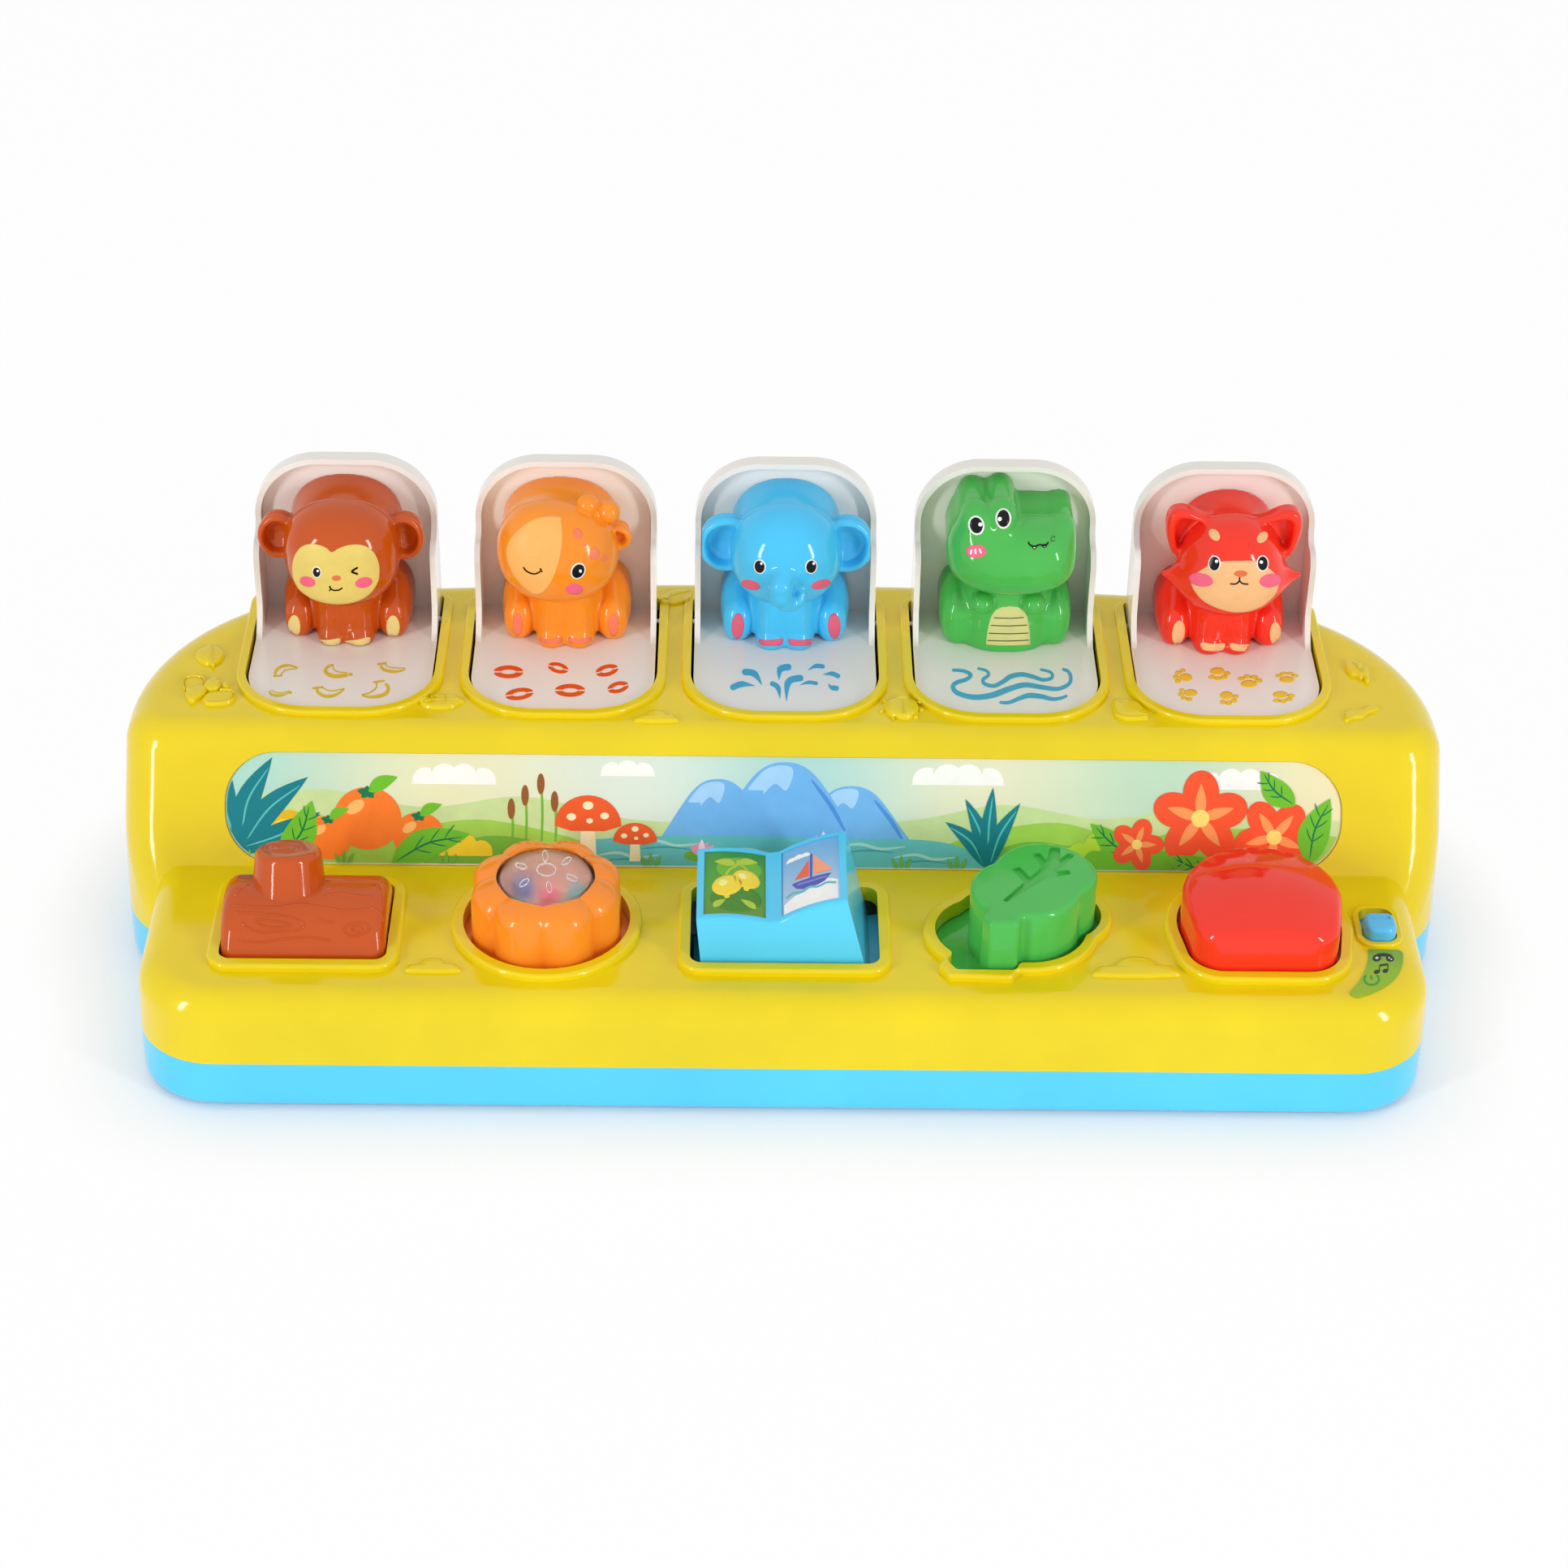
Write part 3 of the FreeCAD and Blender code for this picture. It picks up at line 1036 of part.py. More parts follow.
# ---------------------------------------------------------------- build
def main():
    os.makedirs("parts", exist_ok=True)
    figures = {"monkey": monkey, "giraffe": giraffe, "elephant": elephant, "crocodile": crocodile, "fox": fox}
    for x, name in zip(DOOR_X, ANIMALS):
        save(name + "_door", door(x))
        save(name + "_figure", figures[name](x))
    single = [
        top_shell, base_tray, picture_panel, mode_sticker, mechanism_frame, door_hinge_pins, door_springs,
        log_lever, log_pivot_pin, flower_knob, flower_dome, flower_beads, book_rocker, book_pivot_pin,
        leaf_slider, red_button, red_button_spring, mode_switch_knob, slide_switch, battery_door,
        battery_door_screw, battery_cells, battery_contacts, housing_screws, speaker, circuit_board,
    ]
    for make in single:
        save(make.__name__, make())
    save("book_page_left", book_page(-1))
    save("book_page_right", book_page(1))


main()
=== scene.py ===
import math
from itertools import product

import bpy
import numpy as np
from mathutils import Matrix, Vector
from mathutils.bvhtree import BVHTree
from mathutils.geometry import tessellate_polygon


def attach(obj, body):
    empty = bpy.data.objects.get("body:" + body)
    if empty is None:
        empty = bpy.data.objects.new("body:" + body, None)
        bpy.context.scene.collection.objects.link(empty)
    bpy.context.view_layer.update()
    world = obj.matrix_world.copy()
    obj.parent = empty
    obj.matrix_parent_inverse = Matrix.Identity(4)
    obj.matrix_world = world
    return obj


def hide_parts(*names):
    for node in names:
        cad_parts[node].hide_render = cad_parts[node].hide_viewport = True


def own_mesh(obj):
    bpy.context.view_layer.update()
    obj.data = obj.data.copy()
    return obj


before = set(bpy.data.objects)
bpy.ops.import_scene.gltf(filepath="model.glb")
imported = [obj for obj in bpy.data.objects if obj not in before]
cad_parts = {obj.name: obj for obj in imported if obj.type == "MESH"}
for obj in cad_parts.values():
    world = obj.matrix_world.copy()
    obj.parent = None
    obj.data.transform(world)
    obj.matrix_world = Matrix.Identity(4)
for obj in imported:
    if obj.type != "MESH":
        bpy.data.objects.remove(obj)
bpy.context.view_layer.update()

# Lengths are in millimetres in this file and become metres where a mesh is made.
MM = 0.001
DECK = 66.0        # top of the hump
STEP = 34.0        # top of the step
FLOWER = (-59.3, -42.8)
CUP_R, MIDDLE_BEAD_R = 11.8, 4.5
DOOR_X = {"monkey": -115.0, "giraffe": -57.5, "elephant": 0.0, "crocodile": 57.5, "fox": 115.0}
HINGE_Y, HINGE_Z = 53.8, 62.6    # axis that the doors turn about
PANEL_END = 142.0
STICKER_FOOT, STICKER_HEAD = -69.6, -50.2
PAGE_FOOT, PAGE_HEAD = -57.4, -31.0

# ---------------------------------------------------------------- camera
EYE = Vector((-12.931, -773.626, 583.120))
PITCH, YAW, ROLL = math.radians(34.686), math.radians(0.952), math.radians(1.095)
FOCAL_PX = 4506.28
FRAME_PX = 1932
SENSOR = 36.0


def camera_axes():
    forward = Vector((math.sin(YAW) * math.cos(PITCH), math.cos(YAW) * math.cos(PITCH), -math.sin(PITCH)))
    level = Vector((math.cos(YAW), -math.sin(YAW), 0.0))
    above = level.cross(forward)
    right = math.cos(ROLL) * level + math.sin(ROLL) * above
    up = -math.sin(ROLL) * level + math.cos(ROLL) * above
    return right, up, forward


RIGHT, UP, FORWARD = camera_axes()


def add_camera():
    data = bpy.data.cameras.new("camera")
    data.sensor_width = SENSOR
    data.lens = SENSOR * FOCAL_PX / FRAME_PX
    data.clip_start, data.clip_end = 0.05, 20.0
    camera = bpy.data.objects.new("camera", data)
    camera.matrix_world = Matrix.Translation(EYE * MM) @ Matrix((RIGHT, UP, -FORWARD)).transposed().to_4x4()
    bpy.context.scene.collection.objects.link(camera)
    bpy.context.scene.camera = camera


class Sight:
    """Rays of sight through a magnified part of the camera's frame: its left and top edge and its scale."""

    def __init__(self, left, top, scale):
        self.left, self.top, self.scale = left, top, scale

    def ray(self, point):
        u = (self.left + point[0] / self.scale - FRAME_PX / 2) / FOCAL_PX
        v = (self.top + point[1] / self.scale - FRAME_PX / 2) / FOCAL_PX
        return (FORWARD + RIGHT * u - UP * v).normalized()

    def on_level(self, point, z):
        d = self.ray(point)
        return EYE + d * ((z - EYE.z) / d.z)


# Parts of the frame that prints and reliefs are drawn in: left edge, top edge, magnification.
VIEW = {name: Sight(*part) for name, part in {
    "monkey": (290, 540, 4.48), "giraffe": (560, 540, 4.48), "elephant": (840, 540, 4.48),
    "crocodile": (1080, 540, 4.48), "fox": (1380, 540, 4.36), "bananas": (325, 808, 10.0),
    "log and flower": (240, 1010, 2.786), "sticker": (1640, 1106, 4.0), "deck left": (200, 770, 4.0),
    "deck right": (1620, 780, 4.0), "deck sprig": (500, 830, 4.0), "deck beetle": (1060, 840, 4.0),
    "deck leaf": (1340, 840, 4.0), "deck cloud": (760, 860, 4.0), "deck rear": (780, 715, 4.0),
    "step left": (460, 1170, 3.43), "step right": (1320, 1170, 3.0),
}.items()}

add_camera()
bpy.context.scene.view_settings.view_transform = "Standard"


# ---------------------------------------------------------------- materials
def linear(rgb):
    """Linear colour of a colour given as 0 to 255."""
    return tuple(c / 12.92 if c <= 0.04045 else ((c + 0.055) / 1.055) ** 2.4 for c in (v / 255 for v in rgb))


def shade(rgb, factor):
    return tuple(min(1.0, c * factor) for c in linear(rgb)) + (1.0,)


class Nodes:
    """Nodes of a new material or world, with short ways to add them and to link them."""

    def __init__(self, owner, output="OutputMaterial"):
        owner.use_nodes = True
        self.owner = owner
        self.tree = owner.node_tree
        self.tree.nodes.clear()
        self.out = self.add(output)

    def link(self, a, b):
        self.tree.links.new(a, b)

    def feed(self, socket, value):
        """Gives a socket a constant or another node's output."""
        if isinstance(value, bpy.types.NodeSocket):
            self.link(value, socket)
        else:
            socket.default_value = value

    def add(self, kind, **values):
        """Node with its inputs and settings. An underscore in an input's name stands for a space."""
        node = self.tree.nodes.new("ShaderNode" + kind)
        for key, value in values.items():
            socket = key.replace("_", " ")
            if socket in node.inputs:
                self.feed(node.inputs[socket], value)
            else:
                setattr(node, key, value)
        return node

    def place(self):
        return self.add("TexCoord").outputs["Object"]

    def noise(self, place, **values):
        return self.add("TexNoise", Vector=place, **values).outputs["Fac"]

    def spread(self, share, low, high):
        return self.add("MapRange", Value=share, To_Min=low, To_Max=high).outputs["Result"]

    def ramp(self, share, stops, interpolation="LINEAR"):
        """Colour along a share, by stops of a position and a linear colour."""
        node = self.add("ValToRGB", Fac=share)
        node.color_ramp.interpolation = interpolation
        while len(node.color_ramp.elements) < len(stops):
            node.color_ramp.elements.new(0.5)
        for element, (position, colour) in zip(node.color_ramp.elements, stops):
            element.position = position
            element.color = colour
        return node.outputs["Color"]

    def math(self, operation, a, b):
        node = self.add("Math", operation=operation)
        self.feed(node.inputs[0], a)
        self.feed(node.inputs[1], b)
        return node.outputs["Value"]

    def mix(self, share, a, b, **settings):
        """Mix of two colours."""
        node = self.add("Mix", data_type="RGBA", **settings)
        for index, value in ((0, share), (6, a), (7, b)):
            self.feed(node.inputs[index], value)
        return node.outputs[2]

    def blend(self, share, a, b):
        """Mix of two shaders."""
        node = self.add("MixShader", Fac=share)
        self.link(a.outputs[0], node.inputs[1])
        self.link(b.outputs[0], node.inputs[2])
        return node

    def finish(self, shader):
        self.link(shader.outputs[0], self.out.inputs["Surface"])
        return self.owner


def plastic(name, rgb, rough, vary=0.05, patch=26.0, ripple=0.03, coat=0.12, tint=None, **extra):
    """Glossy moulded plastic with a slight drift of colour, a wandering roughness and a faint ripple.

    tint(n, place, colour) may add nodes that turn the drifting colour into another.
    """
    n = Nodes(bpy.data.materials.new(name))
    place = n.place()
    drift = n.noise(place, Scale=patch, Detail=3.0, Roughness=0.55)
    colour = n.ramp(drift, [(0.3, shade(rgb, 1.0 - vary)), (0.7, shade(rgb, 1.0 + vary))])
    if tint:
        colour = tint(n, place, colour)
    wear = n.noise(place, Scale=patch * 9, Detail=4.0, Roughness=0.6)
    fine = n.noise(place, Scale=patch * 5, Detail=2.0)
    bump = n.add("Bump", Strength=ripple, Distance=0.0006, Height=fine)
    gloss = n.spread(wear, rough * 0.8, rough * 1.25)
    return n.finish(n.add("BsdfPrincipled", Base_Color=colour, Roughness=gloss, Normal=bump.outputs["Normal"],
                          IOR=1.38, Coat_Weight=coat, Coat_Roughness=0.06, **extra))


def banded(axis, low, high, stops):
    """Tint that runs through colours along one axis, from low to high, over the drifting colour."""
    def tint(n, place, colour):
        parts = n.add("SeparateXYZ", Vector=place)
        along = n.add("MapRange", Value=parts.outputs[axis], From_Min=low * MM, From_Max=high * MM)
        return painted(n, along.outputs["Result"], stops, "EASE", colour)
    return tint


def painted(n, share, stops, interpolation, colour):
    """Colours of a ramp, multiplied with a drifting near-white colour."""
    ramp = n.ramp(share, [(position, shade(rgb, 1.0)) for position, rgb in stops], interpolation)
    return n.mix(1.0, ramp, colour, blend_type="MULTIPLY")


def from_flower_axis(n, place):
    """Place relative to the flower's axis, flattened."""
    shift = n.add("VectorMath", operation="SUBTRACT")
    n.feed(shift.inputs[0], place)
    n.feed(shift.inputs[1], (FLOWER[0] * MM, FLOWER[1] * MM, 0))
    flat = n.add("VectorMath", operation="MULTIPLY")
    n.feed(flat.inputs[0], shift.outputs[0])
    n.feed(flat.inputs[1], (1, 1, 0))
    return flat.outputs[0]


def swap_inside(n, offset, radius, rgb, colour):
    """Another colour within a radius, in millimetres."""
    reach = n.add("VectorMath", operation="LENGTH")
    n.feed(reach.inputs[0], offset)
    inside = n.math("LESS_THAN", reach.outputs["Value"], radius * MM)
    return n.mix(inside, colour, shade(rgb, 1.0))


def bead_colours(n, place, colour):
    offset = from_flower_axis(n, place)
    around = n.add("TexGradient", gradient_type="RADIAL", Vector=offset)
    stops = [(0.0, (96, 190, 196)), (0.155, (240, 116, 134)), (0.305, (104, 196, 200)), (0.7, (84, 138, 222))]
    outer = painted(n, around.outputs["Fac"], stops, "CONSTANT", colour)
    return swap_inside(n, offset, MIDDLE_BEAD_R, (250, 104, 132), outer)


def cup_lining_painted_glow(n, place, colour):
    """The flower's orange, with a pale lining in the cup that holds the beads. The lining's light, warm
    colour is partly painted light: it stands in for the glow through the dome into the shaded cup.
    """
    # Painted light: the lining's pale pink is lightened and warmed to stand in for the glow inside the dome.
    return swap_inside(n, from_flower_axis(n, place), CUP_R, (255, 206, 186), colour)


def ink(name, rgb, rough=0.38):
    """Printed ink: flat and a little mottled, with less gloss than the plastic under it."""
    return plastic(name, rgb, rough, vary=0.04, patch=240.0, ripple=0.02, coat=0.0, Specular_IOR_Level=0.3)


def metal(name, rgb, rough):
    return plastic(name, rgb, rough, vary=0.06, patch=120.0, ripple=0.05, coat=0.0, Metallic=1.0)


def clear(name, rgb, rough):
    """Clear plastic that is slightly frosted by its mould."""
    n = Nodes(bpy.data.materials.new(name))
    frost = n.noise(n.place(), Scale=900.0, Detail=3.0)
    return n.finish(n.add("BsdfPrincipled", Base_Color=shade(rgb, 1.0), Transmission_Weight=1.0, IOR=1.22,
                          Roughness=n.spread(frost, rough * 0.7, rough * 1.4)))


PANEL_STOPS = [(0.0, (176, 228, 214)), (0.2, (238, 240, 196)), (0.36, (226, 240, 226)),
               (0.52, (184, 228, 222)), (0.68, (240, 240, 206)), (0.84, (196, 232, 204)),
               (1.0, (244, 238, 190))]
STICKER_STOPS = [(0.0, (158, 190, 18)), (0.45, (142, 188, 36)), (1.0, (116, 168, 54))]
MEADOW_STOPS = [(0.0, (96, 150, 44)), (0.5, (72, 164, 44)), (1.0, (52, 150, 56))]
HEAVEN_STOPS = [(0.0, (186, 212, 240)), (1.0, (120, 184, 236))]
NEAR_WHITE = (250, 250, 250)
MAT = {
    "yellow": plastic("yellow plastic", (235, 209, 14), rough=0.12),
    "sky": plastic("sky blue plastic", (86, 208, 250), rough=0.16),
    "white": plastic("creamy white plastic", (240, 236, 229), rough=0.1, vary=0.02),
    "brown": plastic("brown plastic", (199, 81, 14), rough=0.09),
    "orange": plastic("orange plastic", (255, 148, 34), rough=0.12, Subsurface_Weight=0.12,
                      Subsurface_Scale=0.002),
    # The flower's cup lining carries painted light: a pale warm glow inside the dome.
    "flower": plastic("flower orange plastic", (255, 142, 36), rough=0.14, tint=cup_lining_painted_glow),
    "blue": plastic("blue plastic", (70, 196, 246), rough=0.09),
    "green": plastic("green plastic", (74, 186, 80), rough=0.09),
    "red": plastic("red plastic", (246, 50, 30), rough=0.08),
    "frame": plastic("orange frame plastic", (226, 98, 30), rough=0.35),
    "switch": plastic("blue switch plastic", (90, 190, 240), rough=0.16),
    "panel": plastic("picture ground", NEAR_WHITE, rough=0.2, vary=0.03,
                     tint=banded("X", -PANEL_END, PANEL_END, PANEL_STOPS)),
    "sticker": plastic("sticker ground", NEAR_WHITE, rough=0.24, vary=0.03,
                       tint=banded("Y", STICKER_FOOT, STICKER_HEAD, STICKER_STOPS)),
    "meadow": plastic("page green", NEAR_WHITE, rough=0.2, vary=0.06,
                      tint=banded("Y", PAGE_FOOT, PAGE_HEAD, MEADOW_STOPS)),
    "heaven": plastic("page sky", NEAR_WHITE, rough=0.2, vary=0.03,
                      tint=banded("Y", PAGE_FOOT, PAGE_HEAD, HEAVEN_STOPS)),
    "steel": metal("steel", (196, 198, 202), 0.28),
    "spring": metal("spring steel", (150, 152, 156), 0.35),
    "cell": plastic("cell wrap", (60, 66, 74), rough=0.4),
    "board": plastic("circuit board", (28, 96, 58), rough=0.45),
    "black": plastic("speaker black", (30, 31, 33), rough=0.5),
    "clear": clear("clear plastic", (252, 251, 252), 0.42),
    "bead": plastic("bead plastic", NEAR_WHITE, rough=0.2, tint=bead_colours),
    "frost": plastic("frosted plastic", (236, 240, 244), rough=0.2, vary=0.03, Transmission_Weight=0.6),
}
INK = {
    "black": ink("black ink", (16, 15, 17), 0.12),
    "white": ink("white ink", (250, 250, 250), 0.25),
    "pink": ink("pink ink", (244, 104, 136)),
    "coral": ink("coral ink", (226, 100, 128)),
    "face": ink("pale yellow ink", (230, 206, 112)),
    "muzzle": ink("pale orange ink", (255, 184, 102)),
    "cream": ink("cream ink", (232, 208, 134)),
    "peach": ink("peach ink", (244, 190, 134)),
    "rose": ink("rose ink", (244, 128, 96)),
    "nose": ink("nose ink", (228, 116, 74)),
    "banana": ink("banana yellow ink", (222, 192, 50)),
    "hoof": ink("orange red ink", (234, 88, 28)),
    "water": ink("water blue ink", (78, 172, 208)),
    "paw": ink("gold ink", (242, 200, 66)),
    "sand": ink("pale green ink", (214, 212, 138)),
    "line": ink("dark green ink", (70, 74, 50)),
}

CAD_LOOK = {
    "top_shell": "yellow", "base_tray": "sky", "picture_panel": "panel", "mode_sticker": "sticker",
    "mechanism_frame": "frame", "door_hinge_pins": "steel", "door_springs": "spring",
    "log_pivot_pin": "steel", "book_pivot_pin": "steel", "battery_door": "sky",
    "battery_door_screw": "steel", "battery_cells": "cell", "battery_contacts": "steel",
    "housing_screws": "steel", "speaker": "black", "circuit_board": "board", "slide_switch": "black",
    "red_button_spring": "spring", "log_lever": "brown", "flower_knob": "flower",
    "flower_dome": "clear", "flower_beads": "bead", "book_rocker": "sky", "book_page_left": "meadow",
    "book_page_right": "heaven", "leaf_slider": "green", "red_button": "red", "mode_switch_knob": "switch",
}
FIGURE_LOOK = {"monkey": "brown", "giraffe": "orange", "elephant": "blue", "crocodile": "green", "fox": "red"}
for animal, look in FIGURE_LOOK.items():
    CAD_LOOK[animal + "_door"] = "white"
    CAD_LOOK[animal + "_figure"] = look


def dress(node, material):
    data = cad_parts[node].data
    data.materials.clear()
    data.materials.append(material)
    for polygon in data.polygons:
        polygon.material_index = 0


for node, look in CAD_LOOK.items():
    dress(node, MAT[look])


# ---------------------------------------------------------------- meshes
def new_piece(name, points, faces, material, body, normals=None):
    mesh = bpy.data.meshes.new(name)
    mesh.from_pydata([tuple(c * MM for c in p) for p in points], [],
                     [tuple(int(i) for i in f) for f in faces])
    mesh.materials.append(material)
    mesh.polygons.foreach_set("use_smooth", [True] * len(mesh.polygons))
    if normals is not None:
        mesh.normals_split_custom_set_from_vertices([tuple(n) for n in normals])
    mesh.update()
    piece = bpy.data.objects.new(name, mesh)
    bpy.context.scene.collection.objects.link(piece)
    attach(piece, body)
    return piece


def surface_net(field, origin, step):
    """Mesh of a field's zero surface: a vertex in each crossed cell, a quad across each crossed edge."""
    inside = field < 0
    corners = np.array(list(product((0, 1), repeat=3)))
    shape = np.array(inside.shape) - 1
    count = np.zeros(shape, np.int8)
    for corner in corners:
        count += inside[tuple(slice(c, c + n) for c, n in zip(corner, shape))]
    cells = np.argwhere((count > 0) & (count < 8))
    index = np.full(count.shape, -1, np.int64)
    index[tuple(cells.T)] = np.arange(len(cells))
    total = np.zeros((len(cells), 3))
    hits = np.zeros(len(cells))
    for a, axis in product(corners, range(3)):
        if a[axis]:
            continue
        b = a.copy()
        b[axis] = 1
        fa = field[tuple((cells + a).T)]
        fb = field[tuple((cells + b).T)]
        crossed = (fa < 0) != (fb < 0)
        t = np.where(crossed, fa / np.where(crossed, fa - fb, 1.0), 0.0)
        total += np.where(crossed[:, None], a + t[:, None] * (b - a), 0.0)
        hits += crossed
    points = origin + (cells + total / hits[:, None]) * step
    faces = []
    for axis in range(3):
        u, v = (axis + 1) % 3, (axis + 2) % 3
        lower = np.take(inside, range(field.shape[axis] - 1), axis)
        upper = np.take(inside, range(1, field.shape[axis]), axis)
        edges = np.argwhere(lower != upper)
        for side in (u, v):
            edges = edges[(edges[:, side] > 0) & (edges[:, side] < field.shape[side] - 1)]
        leaving = lower[tuple(edges.T)]
        du, dv = np.zeros(3, int), np.zeros(3, int)
        du[u], dv[v] = 1, 1
        quads = np.stack([index[tuple((edges - shift).T)] for shift in (du + dv, dv, du * 0, du)], 1)
        quads[~leaving] = quads[~leaving][:, ::-1]
        faces.append(quads)
    return points, np.concatenate(faces)


def field_normals(field, origin, step, points):
    """Directions out of the surface, from the field's own slope at each point."""
    slopes = np.gradient(field, step)
    at = (points - origin) / step
    low = np.clip(np.floor(at).astype(int), 0, np.array(field.shape) - 2)
    share = at - low
    total = np.zeros_like(points)
    for corner in product((0, 1), repeat=3):
        near = tuple((low + corner).T)
        weight = np.prod(np.where(corner, share, 1 - share), 1)
        total += weight[:, None] * np.stack([slope[near] for slope in slopes], 1)
    return total / np.maximum(np.linalg.norm(total, axis=1), 1e-9)[:, None]


# ---------------------------------------------------------------- outlines
def spline(points, steps, closed=False):
    """Smooth line through the points."""
    points = [np.array(p, float) for p in points]
    n = len(points)
    made = []
    for i in range(n if closed else n - 1):
        if closed:
            p0, p1, p2, p3 = (points[(i + k - 1) % n] for k in range(4))
        else:
            p0, p1, p2, p3 = (points[min(max(i + k - 1, 0), n - 1)] for k in range(4))
        for s in range(steps):
            t = s / steps
            made.append(0.5 * (2 * p1 + (p2 - p0) * t + (2 * p0 - 5 * p1 + 4 * p2 - p3) * t * t
                               + (3 * p1 - p0 - 3 * p2 + p3) * t ** 3))
    if not closed:
        made.append(points[-1])
    return made


def rounded(points):
    """Closed smooth outline through the points."""
    return spline(points, 4, closed=True)


def turned(loop, x, y, turn):
    """A loop about the origin, turned by degrees and moved to x, y."""
    c, s = math.cos(math.radians(turn)), math.sin(math.radians(turn))
    return [np.array((x + u * c - v * s, y + u * s + v * c)) for u, v in loop]


def arc(x, y, rx, ry, start, end, count):
    """Points along a part of an oval, from one angle in degrees to another, both ends included."""
    angles = np.linspace(math.radians(start), math.radians(end), count)
    return [np.array((x + rx * math.cos(a), y + ry * math.sin(a))) for a in angles]


def oval(x, y, rx, ry, turn=0.0, count=40):
    return turned(arc(0, 0, rx, ry, 0, 360, count + 1)[:-1], x, y, turn)


def across(path):
    """Each point of a path, with the direction to its left."""
    for i, p in enumerate(path):
        ahead = path[min(i + 1, len(path) - 1)] - path[max(i - 1, 0)]
        yield p, np.array((-ahead[1], ahead[0])) / max(float(np.linalg.norm(ahead)), 1e-9)


def cut(loop, depth):
    """The part of a loop where depth(point) isn't below zero."""
    kept = []
    for p, q in zip(loop, loop[1:] + loop[:1]):
        dp, dq = depth(p), depth(q)
        if dp >= 0:
            kept.append(p)
        if (dp >= 0) != (dq >= 0):
            kept.append(p + (q - p) * (dp / (dp - dq)))
    return kept


# ---------------------------------------------------------------- forms that the figures are sculpted from
# A form is a field over the grid (X, Y, Z), below zero inside. X is from the door's middle, Z from its floor.
MOULD_STEP = 0.3


def egg(grid, centre, radii, power=2.0, back=True):
    """Rounded form, squarer as power grows. With back it runs on unchanged towards the lid."""
    x, y, z = (g - c for g, c in zip(grid, centre))
    y = np.minimum(y, 0) if back else y
    k = sum(np.abs(way / radius) ** power for way, radius in zip((x, y, z), radii)) ** (1 / power)
    return (k - 1) * min(radii)


def ball(grid, centre, r):
    x, y, z = (g - c for g, c in zip(grid, centre))
    return np.sqrt(x * x + y * y + z * z) - r


def limb(grid, a, b, ra, rb):
    """Tapered limb with round ends."""
    a, b = np.array(a, float), np.array(b, float)
    d = b - a
    t = sum((g - c) * w for g, c, w in zip(grid, a, d)) / (d @ d)
    t = np.clip(t, 0, 1)
    return np.sqrt(sum((g - (c + t * w)) ** 2 for g, c, w in zip(grid, a, d))) - (ra + (rb - ra) * t)


def rim(grid, centre, radii, thick):
    """Oval ring that faces the front."""
    x, y, z = (g - c for g, c in zip(grid, centre))
    k = np.sqrt((x / radii[0]) ** 2 + (z / radii[1]) ** 2)
    return np.sqrt(((k - 1) * min(radii)) ** 2 + y ** 2) - thick


def polygon_form(grid, corners, y0, y1, rounding):
    """Flat form that faces the front, with a polygon outline (x, z), from y0 to y1."""
    x, z = grid[0][:, :1, :], grid[2][:, :1, :]
    corners = [np.array(c, float) for c in corners]
    nearest = None
    inside = np.zeros(x.shape, bool)
    for a, b in zip(corners, corners[1:] + corners[:1]):
        d = b - a
        t = np.clip(((x - a[0]) * d[0] + (z - a[1]) * d[1]) / (d @ d), 0, 1)
        gap = np.hypot(x - a[0] - t * d[0], z - a[1] - t * d[1])
        nearest = gap if nearest is None else np.minimum(nearest, gap)
        crosses = (a[1] > z) != (b[1] > z)
        slope = d[1] if abs(d[1]) > 1e-9 else 1e-9
        inside ^= crosses & (x < d[0] * (z - a[1]) / slope + a[0])
    flat = np.where(inside, -nearest, nearest) + rounding
    middle, half = (y0 + y1) / 2, (y1 - y0) / 2
    deep = np.abs(grid[1] - middle) - half + rounding
    flat = np.broadcast_to(flat, deep.shape)
    outside = np.sqrt(np.maximum(flat, 0) ** 2 + np.maximum(deep, 0) ** 2)
    return outside + np.minimum(np.maximum(flat, deep), 0) - rounding


def join(a, b, soft):
    """Union, with a fillet as wide as soft."""
    h = np.maximum(soft - np.abs(a - b), 0) / soft
    return np.minimum(a, b) - h * h * soft / 4


def carve(a, b, soft):
    """a without b."""
    return -join(-a, b, soft)


def parted(shape, grid, y):
    """The moulds meet at y: behind it the form is a little smaller, which leaves a fine edge."""
    return shape + np.where(grid[1] > y, MOULD_STEP, 0.0)


def sitting_body(grid):
    """Torso, two front legs side by side, two hind legs that run back to the lid."""
    body = egg(grid, (0, 46, 7.0), (9.6, 9.5, 11.0), 2.4)
    for side in (-1, 1):
        leg = limb(grid, (side * 3.5, 38.8, 2.4), (side * 3.0, 40.0, 13.0), 3.5, 4.0)
        toe = egg(grid, (side * 3.6, 38.6, 1.6), (3.7, 4.2, 3.0), back=False)
        body = join(body, join(leg, toe, 1.6), 1.6)
        hip = egg(grid, (side * 11.6, 50.0, 6.6), (4.9, 8.0, 8.4), 2.2)
        foot = egg(grid, (side * 12.3, 42.4, 5.0), (3.9, 4.4, 5.8), 2.3)
        body = join(body, join(hip, foot, 2.6), 1.4)
    return body


def round_ear(grid, centre, radii, thick, dish_back):
    """Ear with a round rim and a dished face."""
    x, y, z = centre
    plate = egg(grid, (x, y + 3.4, z), (radii[0] + thick * 0.5, 3.0, radii[1] + thick * 0.5), 2.2, back=False)
    ear = join(plate, rim(grid, centre, radii, thick), 0.8)
    dish = egg(grid, (x, y - 1.4, z), (radii[0] - 0.3, dish_back, radii[1] - 0.3), back=False)
    return carve(ear, dish, 0.8)


